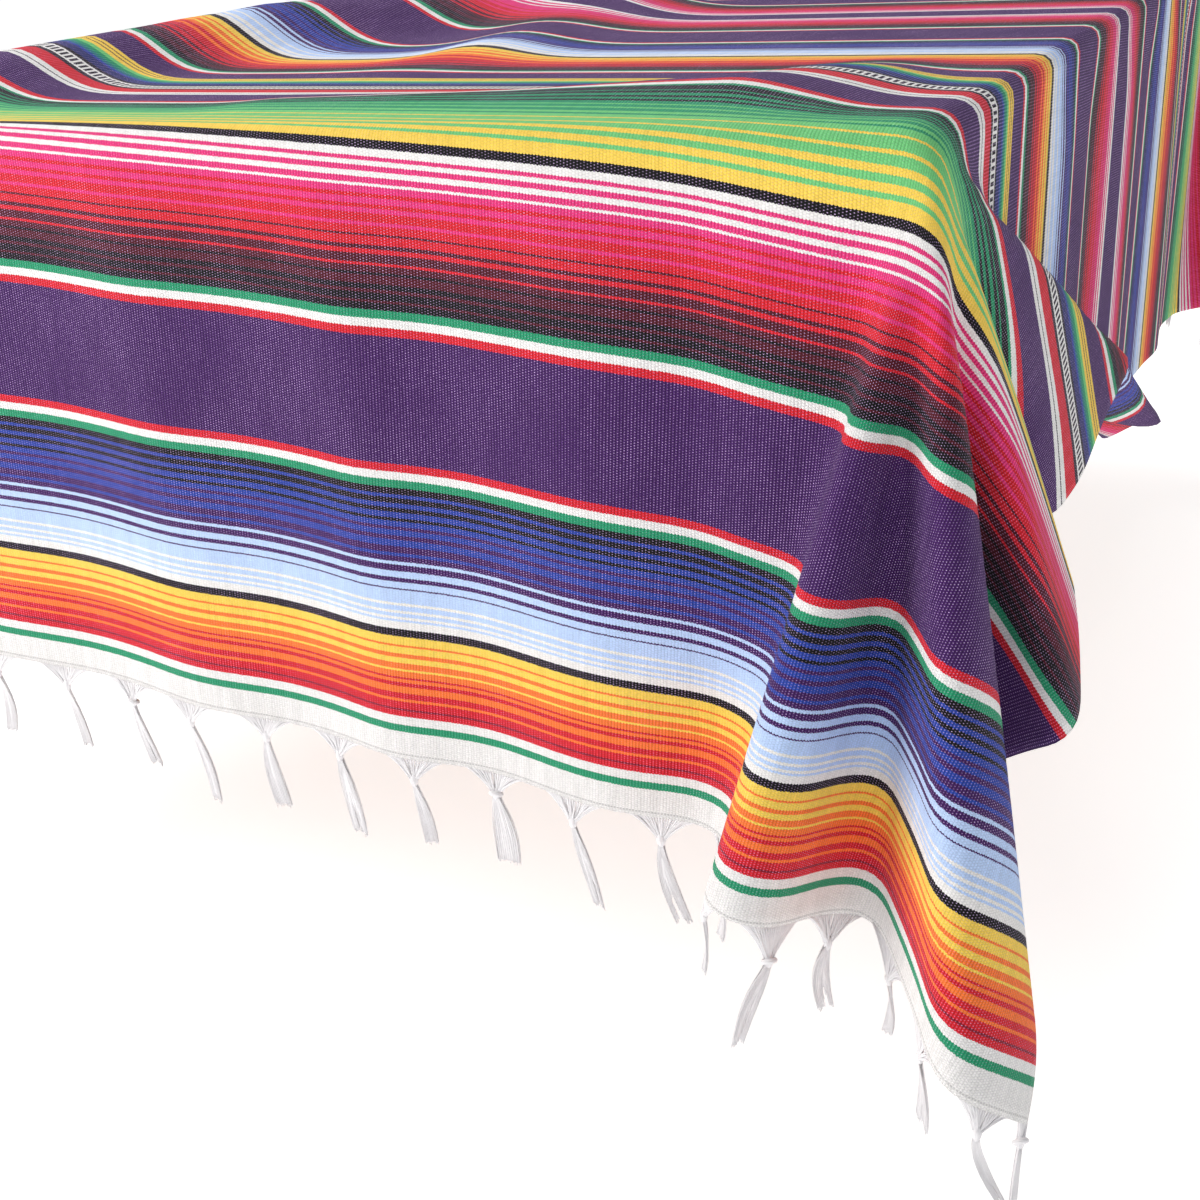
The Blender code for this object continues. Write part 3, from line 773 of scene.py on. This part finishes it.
def weave_shade_and_tone(shader, place, from_hem, rounds, streak, lightness):
    """Painted shade in the grooves and at the loops' ends, a painted shadow line above the hem, and
    random fuzz and streaks of tone, which multiply the weave's colour.
    """
    round_u, round_v = rounds
    # Painted shade in the grooves between the ribs, deeper on dark yarn than on white, under slight
    # painted light on the rib crests
    depth = shader.span(lightness, *GROOVE_SHADE_BY_LIGHTNESS)
    groove_shade_mask = shader.span(round_u, *GROOVE_SHADE_EDGE)
    groove = shader.math("SUBTRACT", RIB_CREST_LIGHT, shader.product(groove_shade_mask, depth))
    fuzz = shader.span(shader.noise(place, FUZZ_SCALE), *TONE_BY_FUZZ)
    # Painted shade at the ends of each loop of weft, and slight painted light on its middle
    pick_shade = shader.span(round_v, *SHADE_BY_PICK)
    by_streak = shader.span(streak, *TONE_BY_STREAK)
    # A painted shadow: a thin dotted dark line just above the hem
    line = shader.product(shader.span(from_hem, *HEM_SHADOW_START), shader.span(from_hem, *HEM_SHADOW_END))
    shadow_dots = shader.product(line, shader.span(round_u, *HEM_SHADOW_DOTS))
    hem_shadow = shader.math("MULTIPLY_ADD", shadow_dots, HEM_SHADOW_TONE, 1.0)
    return shader.product(groove, fuzz, pick_shade, by_streak, hem_shadow)


def woven_material():
    """The striped weave, from the place on the flat cloth."""
    shader = Shader("striped_weave")
    place = shader.add("ShaderNodeUVMap", uv_map="cloth").outputs[0]
    split = shader.add("ShaderNodeSeparateXYZ")
    shader.plug(split.inputs[0], place)
    u, v = split.outputs[0], split.outputs[1]
    from_hem = shader.math("SUBTRACT", CLOTH_LENGTH / 2, shader.math("ABSOLUTE", v))
    # Ribs run along the cloth. The loops of each rib lie half a pitch off those of the next
    rib = shader.math("DIVIDE", u, RIB_PITCH)
    odd = shader.product(shader.math("FLOORED_MODULO", shader.math("FLOOR", rib), 2.0), 0.5)
    cell_u = shader.math("FRACT", rib)
    cell_v = shader.math("FRACT", shader.math("ADD", shader.math("DIVIDE", v, PICK_PITCH), odd))
    round_u, round_v = (shader.math("SINE", shader.product(cell, math.pi)) for cell in (cell_u, cell_v))
    edge = uneven_edge(shader, place, from_hem, round_u)
    colour = with_ladder(shader, stripe_colour(shader, edge), edge, u)
    grey = shader.add("ShaderNodeRGBToBW")
    shader.plug(grey.inputs[0], colour)
    lightness = grey.outputs[0]
    across, along = STREAK_SCALES
    streak = shader.noise(shader.combine(shader.product(u, across), shader.product(v, along)), 1.0)
    specks = warp_specks(shader, place, (cell_u, cell_v), streak, lightness)
    shade_and_tone = weave_shade_and_tone(shader, place, from_hem, (round_u, round_v), streak, lightness)
    specked = shader.mix(specks, colour, linear(*WARP_HUE))
    # The painted shade and the random tone multiply the colour
    toned = shader.mix(1.0, specked, shader.combine(shade_and_tone, shade_and_tone, shade_and_tone), "MULTIPLY")
    shader.surface(toned, roughness=0.85, specular_ior_level=0.25, sheen_weight=0.05)
    heights = (shader.math("POWER", *pair) for pair in zip((round_u, round_v), LOOP_POWERS))
    shader.bump(shader.product(*heights), strength=0.5, distance=0.0006)
    return shader.material


def yarn_material():
    """White yarn with fine fibres along each strand."""
    shader = Shader("white_yarn")
    place = shader.add("ShaderNodeUVMap", uv_map="yarn").outputs[0]
    stretched = shader.stretched(place, (14.0, 60.0, 1.0))
    fibre = shader.noise(stretched, scale=1.0, detail=4.0, roughness=0.6)
    dark, light = (linear(*hue) for hue in YARN_HUES)
    colour = shader.mix(shader.span(fibre, 0.3, 0.7), dark, light)
    shader.surface(colour, roughness=0.75, sheen_weight=0.1)
    shader.bump(fibre, strength=0.5, distance=0.0005)
    return shader.material


def wood_material():
    """Plain wood with its grain along Y."""
    shader = Shader("plain_wood")
    place = shader.add("ShaderNodeTexCoord").outputs["Object"]
    stretched = shader.stretched(place, (9.0, 1.2, 9.0))
    grain = shader.noise(stretched, scale=4.0, detail=6.0, roughness=0.6)
    dark, light = (linear(*hue) for hue in WOOD_HUES)
    colour = shader.mix(shader.span(grain, 0.3, 0.7), dark, light)
    shader.surface(colour, roughness=0.5)
    shader.bump(grain, strength=0.15, distance=0.001)
    return shader.material


# Fringe

# Tassels at each end of the cloth
TASSELS = 27
# Turns that a strand's UV is shifted by for each face made before it, and a direction that no strand
# runs along
SEAM_STEP = 0.137
ASKEW = (0.31, 0.93, 0.17)


class Yarns:
    """Many strands gathered into one mesh, each with a UV of turn and length."""

    def __init__(self):
        self.points = []
        self.faces = []
        self.places = []

    def skin(self, rings, lengths):
        """Faces between rings of points that have the same count, closed at both ends."""
        start, sides = len(self.points), len(rings[0])
        shift = len(self.faces) * SEAM_STEP
        for ring in rings:
            self.points += [tuple(point) for point in ring]
        for row in range(len(rings) - 1):
            for k in range(sides):
                a, b = start + row * sides + k, start + row * sides + (k + 1) % sides
                self.faces.append((a, b, b + sides, a + sides))
                turns = (shift + k / sides, shift + (k + 1) / sides)
                low, high = lengths[row], lengths[row + 1]
                self.places += [(turns[0], low), (turns[1], low), (turns[1], high), (turns[0], high)]
        for row, turned in ((0, True), (len(rings) - 1, False)):
            cap = [start + row * sides + k for k in range(sides)]
            self.faces.append(tuple(reversed(cap)) if turned else tuple(cap))
            self.places += [(shift, lengths[row])] * sides

    def tube(self, line, radii, sides):
        """A strand along a line of points, with a radius at each."""
        line = np.array(line)
        ways = np.gradient(line, axis=0)
        ways /= np.linalg.norm(ways, axis=1)[:, None] + 1e-12
        lengths = np.concatenate([[0.0], np.cumsum(np.linalg.norm(np.diff(line, axis=0), axis=1))])
        rings = []
        for point, way, radius in zip(line, ways, radii):
            side = np.cross(way, ASKEW)
            side /= np.linalg.norm(side)
            up = np.cross(side, way)
            turns = [2 * math.pi * k / sides for k in range(sides)]
            rings.append([point + radius * (math.cos(t) * side + math.sin(t) * up) for t in turns])
        self.skin(rings, lengths)


def bend_line(start, end, sag, count):
    """Points from start to end that sag by the given amount in the middle."""
    share = np.linspace(0.0, 1.0, count)[:, None]
    return start + (end - start) * share + sag * 4 * share * (1 - share)


# Millimetres in a metre
MM = 1000

# A lock down from its knot: share of its length, share of its full width, thickness in millimetres
LOCK_ROWS = (
    (0.00, 0.24, 2.3),
    (0.08, 0.34, 2.2),
    (0.20, 0.58, 1.9),
    (0.38, 0.84, 1.6),
    (0.60, 1.00, 1.4),
    (0.85, 1.00, 1.2),
    (1.00, 0.94, 1.0),
)
LOCK_SIDES = 16
STRANDS = 22
# Share of a lock's length where its fingers start to part, and the share over which they do so
PART_START = 0.25
PART_RUN = 0.5
# Least notch, in millimetres, that parts a lock into two fingers
PARTING_NOTCH = 2.5
# Share of a lock's length where its uneven cut starts, and how strongly it grows from there
RAGGED_START = 0.85
RAGGED_GROWTH = 120
# The dense middle of a lock: share of its length, rings, share of its width, depth of its grooves
CORE_REACH = 0.96
CORE_RINGS = 10
CORE_WIDTH = 0.93
CORE_GROOVE = 0.12
# A lock's way: power of its lean, depth and turn of its bow outwards, least sink for its length
LEAN_POWER = 1.4
BOW_OUT = 0.003
BOW_TURN = 2.4
LEAST_SINK = 0.2
# Points of a strand, its least radius, radii in a strand's width, and its share of the thickness
STRAND_POINTS = 9
LEAST_RADIUS = 0.00034
RADII_IN_WIDTH = 1.7
STRAND_OUT = 0.8
# Half width of the notch between fingers, as a share of the lock's half width
NOTCH_WIDTH = 0.30
# Ranges of a lock's random draws: uneven cut and bow in metres, then as shares of the lock its split,
# and the cut and the wave of a strand
RAGGED = (-0.0015, 0.0010)
BOW = (-0.0025, 0.0025)
SPLIT = (-0.35, 0.35)
CUT = (-0.035, 0.02)
WAVE = (-0.04, 0.04)

# A knot from its web to its lock: distance from its middle, in steps, and half width in millimetres
KNOT_ROWS = ((-1.6, 0.6), (-0.9, 2.1), (0.0, 2.9), (0.8, 2.7), (1.6, 2.0), (2.2, 0.8))
KNOT_STEP = 0.0024
KNOT_SIDES = 12
# Depth of a knot's grooves, and its thickness as a share of its width
KNOT_GROOVE = 0.05
KNOT_FLATNESS = 0.8
# The thread about some knots: half widths, drop below the knot's middle, slant, range of the slant's
# turn, and the thread's radius
WRAP_HALVES = (0.0032, 0.0028)
WRAP_DROP = 0.0010
WRAP_SLANT = 0.0016
WRAP_TILT = (-0.8, 0.8)
WRAP_RADIUS = 0.0016

# Threads of the web between the hem and a knot: count, points of each, half the width that they take
# at the hem and at the knot, start above the hem, spread, arch, stray and radii
WEB_THREADS = 24
WEB_POINTS = 7
WEB_HALF = 0.0235
WEB_KNOT_HALF = 0.0022
WEB_ROOT = 0.0012
WEB_SPREAD = (-0.0010, 0.0010)
WEB_ARCH = 0.0030
WEB_STRAY = (-0.0006, 0.0006)
WEB_RADII = (0.00055, 0.00085)
# Shares of the cloth's own fall and of straight down in the way that a tassel hangs
FALL_SHARE = 0.35
PLUMB = (0.0, 0.0, -0.65)
# Half step along the hem and step up the cloth, for their directions, and points along the hem
HEM_STEP = 0.012
FALL_STEP = 0.004
HEM_POINTS = 1201
# One knot in every WRAP_EVERY has a thread about it, from the one numbered WRAP_FIRST
WRAP_EVERY = 5
WRAP_FIRST = 2
SEED = 11

# Tassels at the front that the photo shows, by number along the hem. Millimetres: shift along the hem,
# knot below the hem, length and width of the lock, lean along the hem, depth of the notch at its end;
# then how far the lock turns about its own way, in radians.
SHIFT, DROP, LENGTH, WIDTH, LEAN, NOTCH, TWIST = range(7)
FRONT_TASSELS = {
    11: (0, 14, 47, 7, 7, 2, 0.3),
    12: (0, 14, 48, 9, 11, 3, 0.4),
    13: (-2, 14, 58, 9, 12, 2, -0.3),
    14: (0, 13, 52, 12, 6, 2, 0.2),
    15: (0, 13, 57, 13, 9, 3, -0.2),
    16: (2, 14, 46, 9, 8, 1, 0.5),
    17: (0, 14, 50, 17, 5, 1, 0.1),
    18: (0, 15, 58, 9, 15, 4, -0.5),
    19: (0, 15, 58, 11, 13, 9, 0.4),
    20: (0, 14, 48, 11, -8, 2, 0.7),
    21: (3, 12, 32, 9, 3, 2, 0.3),
    22: (0, 20, 53, 13, -15, 3, 0.6),
    23: (-4, 18, 44, 15, 7, 8, 0.2),
    24: (-9, 18, 40, 7, -1, 1, 1.2),
    25: (-11, 14, 42, 14, 6, 3, 0.3),
    26: (-12, 13, 46, 11, 30, 6, 0.5),
}
# The extra tassel at the corner of the cloth, and the share of a web's width that it has
CORNER_TASSEL = (0, 9, 84, 7, 12, 2, 0.8)
CORNER_WEB = 0.25
# Least distance of a tassel from the end of the hem
CORNER_INSET = 0.004
# Ranges of the same numbers for a tassel that the photo doesn't show
OTHER_TASSEL = ((-3, 3), (13, 17), (44, 54), (8, 15), (-6, 13), (1, 7), (-0.7, 0.7))


def tassel_numbers(k, end, draw):
    """The row of a tassel from the table, or one drawn at random."""
    if end < 0 and k in FRONT_TASSELS:
        return FRONT_TASSELS[k]
    return tuple(draw.uniform(*limits) for limits in OTHER_TASSEL)


def lock_spine(knot, axes, row, bow):
    """Centre and the two thin ways of a lock at a share of its length."""
    across, outward, hang = axes
    length, lean, twist = row[LENGTH] / MM, row[LEAN] / MM, row[TWIST]

    def at(share):
        turn = twist * (share - 0.5)
        wide = across * math.cos(turn) + outward * math.sin(turn)
        thin = outward * math.cos(turn) - across * math.sin(turn)
        sink = math.sqrt(max(length**2 - lean**2, LEAST_SINK * length**2))
        aside = lean * share**LEAN_POWER + bow * math.sin(math.pi * share)
        centre = knot + hang * sink * share + across * aside
        return centre + outward * BOW_OUT * math.sin(BOW_TURN * share), wide, thin

    return at


def lock_section(share, row):
    """Half width and half thickness of a lock at a share of its length, and how far it has parted."""
    table = np.array(LOCK_ROWS)
    full = np.interp(share, table[:, 0], table[:, 1]) * row[WIDTH] / (2 * MM)
    thick = np.interp(share, table[:, 0], table[:, 2]) / (2 * MM)
    part = np.clip((share - PART_START) / PART_RUN, 0.0, 1.0)
    return full, thick, part


def add_core(yarns, at, row, side, draw):
    """The dense middle of a lock or of one of its fingers, grooved and unevenly cut."""
    low, high = side
    rings, lengths = [], []
    ragged = [draw.uniform(*RAGGED) for _ in range(LOCK_SIDES)]
    end_way = at(1.0)[0] - at(0.9)[0]
    for share in np.linspace(0.0, CORE_REACH, CORE_RINGS):
        centre, wide, thin = at(share)
        full, thick, part = lock_section(share, row)
        left, right = -1 + (low + 1) * part, 1 + (high - 1) * part
        middle, half = (left + right) / 2 * full, (right - left) / 2 * full * CORE_WIDTH
        cut = RAGGED_GROWTH * max(0.0, share - RAGGED_START)
        ring = []
        for k in range(LOCK_SIDES):
            angle = 2 * math.pi * k / LOCK_SIDES
            groove = 1.0 + CORE_GROOVE * math.cos(math.pi * k)
            spot = wide * (middle + half * math.cos(angle)) + thin * thick * math.sin(angle) * groove
            ring.append(centre + spot + end_way * ragged[k] * cut)
        rings.append(ring)
        lengths.append(share * row[LENGTH] / MM)
    yarns.skin(rings, lengths)


def add_lock(yarns, knot, axes, row, draw):
    """The loose end of a tassel: a flat ribbon of fine strands, often parted into fingers."""
    bow = draw.uniform(*BOW)
    at = lock_spine(knot, axes, row, bow)
    split = draw.uniform(*SPLIT)
    notch = row[NOTCH] / row[LENGTH]
    gap = 0.05 + 0.5 * notch
    whole = (-1.0, 1.0)
    if row[NOTCH] > PARTING_NOTCH:
        fingers = ((-1.0, split - gap), (split + gap, 1.0))
        shares = ((-1.0, split), (split, 1.0))
    else:
        fingers = (whole,)
        shares = (whole,)
    for side in fingers:
        add_core(yarns, at, row, side, draw)
    for k in range(STRANDS):
        start = (k + 0.5) / STRANDS * 2 - 1
        finger = 0 if start < split or len(fingers) == 1 else 1
        side, (old_low, old_high) = fingers[finger], shares[finger]
        goal = side[0] + (side[1] - side[0]) * (start - old_low) / (old_high - old_low)
        face = (-1, 1)[k % 2]
        dip = notch * math.exp(-(((start - split) / NOTCH_WIDTH) ** 2))
        cut = 1.0 - dip + draw.uniform(*CUT)
        wave = draw.uniform(*WAVE)
        line = []
        for share in np.linspace(0.0, 1.0, STRAND_POINTS) * cut:
            centre, wide, thin = at(share)
            full, thick, part = lock_section(share, row)
            off = start + (goal - start) * part + wave * math.sin(4 * share)
            line.append(centre + wide * full * off + thin * thick * face * STRAND_OUT)
        radius = max(LEAST_RADIUS, row[WIDTH] / STRANDS / (RADII_IN_WIDTH * MM))
        yarns.tube(line, [radius] * STRAND_POINTS, 4)


def add_knot(yarns, knot, axes, wrapped, draw):
    """A tight gather between the web and the lock, with a turn of thread about some of them."""
    across, outward, hang = axes
    rings, lengths = [], []
    for steps, half in KNOT_ROWS:
        ring = []
        for k in range(KNOT_SIDES):
            angle = 2 * math.pi * k / KNOT_SIDES
            groove = 1.0 + KNOT_GROOVE * math.cos(math.pi * k)
            spot = across * math.cos(angle) + outward * KNOT_FLATNESS * math.sin(angle)
            ring.append(knot + hang * steps * KNOT_STEP + spot * half * groove / MM)
        rings.append(ring)
        lengths.append(steps * KNOT_STEP)
    yarns.skin(rings, lengths)
    if not wrapped:
        return
    tilt = draw.uniform(*WRAP_TILT)
    ring = []
    for k in range(KNOT_SIDES + 1):
        angle = 2 * math.pi * k / KNOT_SIDES
        spot = across * math.cos(angle) * WRAP_HALVES[0] + outward * math.sin(angle) * WRAP_HALVES[1]
        ring.append(knot + spot + hang * (WRAP_DROP + WRAP_SLANT * math.sin(angle + tilt)))
    yarns.tube(ring, [WRAP_RADIUS] * len(ring), 6)


def add_web(yarns, hem_point, knot, axes, down, draw):
    """Threads that gather from the hem to a knot."""
    across, outward, _ = axes
    for k in range(WEB_THREADS):
        share = (k + 0.5) / WEB_THREADS * 2 - 1
        root = hem_point(share * WEB_HALF) - down * WEB_ROOT
        spot = knot + across * share * WEB_KNOT_HALF + outward * draw.uniform(*WEB_SPREAD)
        arch = -down * WEB_ARCH * share**2 + outward * draw.uniform(*WEB_STRAY)
        line = bend_line(root, spot, arch, WEB_POINTS)
        radius = draw.uniform(*WEB_RADII)
        yarns.tube(line, [radius] * WEB_POINTS, 5)


def add_tassel(yarns, hem_point, down, draw, row, wrapped):
    """Web threads from the hem to a knot, and the lock of strands under it."""
    across = hem_point(HEM_STEP) - hem_point(-HEM_STEP)
    across /= np.linalg.norm(across)
    outward = np.cross(across, down)
    outward /= np.linalg.norm(outward)
    hang = FALL_SHARE * down + np.array(PLUMB)
    hang /= np.linalg.norm(hang)
    knot = hem_point(0.0) + hang * row[DROP] / MM
    axes = (across, outward, hang)
    add_web(yarns, hem_point, knot, axes, down, draw)
    add_knot(yarns, knot, axes, wrapped, draw)
    add_lock(yarns, knot + hang * 0.002, axes, row, draw)


def make_fringe(name, end, material):
    """The tassels of one end of the cloth, -1 for the front and 1 for the back."""
    yarns = Yarns()
    draw = random.Random(SEED + end)
    pitch = CLOTH_WIDTH / TASSELS
    edge = CLOTH_WIDTH / 2
    v = end * CLOTH_LENGTH / 2
    stations = np.linspace(-edge, edge, HEM_POINTS)
    hem = place_cloth(stations, np.full_like(stations, v))
    inner = place_cloth(stations, np.full_like(stations, v - end * FALL_STEP))
    fall = hem - inner
    fall /= np.linalg.norm(fall, axis=1)[:, None]
    for k in range(TASSELS + 1):
        last = k == TASSELS
        row = CORNER_TASSEL if last else tassel_numbers(k, end, draw)
        middle = min(-edge + pitch * (k + 0.5) + row[SHIFT] / MM, edge - CORNER_INSET)
        web = CORNER_WEB if last else 1.0

        def hem_point(offset):
            at = min(max(middle + offset * web, -edge), edge)
            return np.array([np.interp(at, stations, hem[:, axis]) for axis in range(3)])

        down = np.array([np.interp(middle, stations, fall[:, axis]) for axis in range(3)])
        add_tassel(yarns, hem_point, down, draw, row, k % WRAP_EVERY == WRAP_FIRST)
    mesh = bpy.data.meshes.new(name)
    mesh.from_pydata(yarns.points, [], yarns.faces)
    layer = mesh.uv_layers.new(name="yarn")
    layer.data.foreach_set("uv", np.array(yarns.places).ravel())
    return add_smooth(name, mesh, material)


# Camera, light and floor

CAMERA_FROM_CORNER = (0.176, -0.735, 0.107)
CAMERA_YAW = math.radians(25.9)
CAMERA_PITCH = math.radians(23.9)
CAMERA_ROLL = math.radians(3.6)
CAMERA_LENS = 48.0
SENSOR_WIDTH = 36.0
CLIP_START = 0.02

WORLD_COLOUR = (0.97, 0.98, 1.0, 1.0)
WORLD_STRENGTH = 0.32
# Lights: name, place, the point that it faces, side, power and colour
LIGHTS = (
    ("key", (-1.35, -1.75, 1.45), (0.1, -0.5, 0.45), 1.1, 34.0, (1.0, 0.985, 0.96)),
    ("side", (2.2, -1.8, 1.6), (0.3, -0.4, 0.5), 1.4, 6.0, (0.95, 0.97, 1.0)),
    ("above", (-0.5, 0.4, 3.0), (0.0, 0.0, 0.6), 2.2, 46.0, (1.0, 1.0, 1.0)),
)
FLOOR_REACH = 60.0
FLOOR_COLOUR = (0.88, 0.88, 0.88, 1.0)
# The floor's glow by distance from the frame's origin: two distances, and the glow at each
FLOOR_GLOW = (0.9, 2.6, 0.66, 0.76)


def add_camera():
    """A camera in front of the table's right corner, turned left, down and a little about its view."""
    forward = Vector(
        (
            -math.sin(CAMERA_YAW) * math.cos(CAMERA_PITCH),
            math.cos(CAMERA_YAW) * math.cos(CAMERA_PITCH),
            -math.sin(CAMERA_PITCH),
        )
    )
    level = Vector((math.cos(CAMERA_YAW), math.sin(CAMERA_YAW), 0.0))
    down = forward.cross(level)
    right = math.cos(CAMERA_ROLL) * level + math.sin(CAMERA_ROLL) * down
    up = math.sin(CAMERA_ROLL) * level - math.cos(CAMERA_ROLL) * down
    data = bpy.data.cameras.new("camera")
    data.lens = CAMERA_LENS
    data.sensor_width = SENSOR_WIDTH
    data.clip_start = CLIP_START
    camera = add_object("camera", data)
    place = Vector((top_high[0], top_low[1], top_high[2])) + Vector(CAMERA_FROM_CORNER)
    turn = Matrix((right, up, -forward)).transposed().to_4x4()
    camera.matrix_world = Matrix.Translation(place) @ turn
    bpy.context.scene.camera = camera


def add_area(name, place, target, size, power, colour):
    data = bpy.data.lights.new(name, "AREA")
    data.shape = "RECTANGLE"
    data.size = size
    data.size_y = size
    data.energy = power
    data.color = colour
    light = add_object(name, data)
    light.location = place
    way = Vector(target) - Vector(place)
    light.rotation_euler = way.to_track_quat("-Z", "Y").to_euler()


def add_floor():
    mesh = bpy.data.meshes.new("floor")
    corners = [(x * FLOOR_REACH, y * FLOOR_REACH, 0) for x, y in ((-1, -1), (1, -1), (1, 1), (-1, 1))]
    mesh.from_pydata(corners, [], [(0, 1, 2, 3)])
    floor = add_object("floor", mesh)
    shader = Shader("floor")
    place = shader.add("ShaderNodeTexCoord").outputs["Object"]
    reach = shader.add("ShaderNodeVectorMath", operation="LENGTH")
    shader.plug(reach.inputs[0], place)
    shader.surface(FLOOR_COLOUR, roughness=0.9, emission_color=(1.0, 1.0, 1.0, 1.0))
    glow = shader.span(reach.outputs["Value"], *FLOOR_GLOW)
    shader.plug(shader.principled.inputs["Emission Strength"], glow)
    mesh.materials.append(shader.material)


def add_stage():
    world = bpy.data.worlds.new("studio")
    world.use_nodes = True
    background = world.node_tree.nodes["Background"]
    background.inputs[0].default_value = WORLD_COLOUR
    background.inputs[1].default_value = WORLD_STRENGTH
    bpy.context.scene.world = world
    bpy.context.scene.view_settings.view_transform = "Standard"
    for light in LIGHTS:
        add_area(*light)
    add_floor()


# The dressed part

weave = woven_material()
yarn = yarn_material()
wood = wood_material()
panel = make_panel(weave)
front = make_fringe("front_tassels", -1, yarn)
back = make_fringe("back_tassels", 1, yarn)
for piece, node, slot in (
    (panel, "serape_panel", "striped_weave"),
    (front, "fringe_front", "white_yarn"),
    (back, "fringe_back", "white_yarn"),
):
    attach(piece, "root")
    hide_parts(node)
for name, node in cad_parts.items():
    if name.startswith("table_"):
        for slot in node.material_slots:
            slot.material = wood
add_stage()
add_camera()
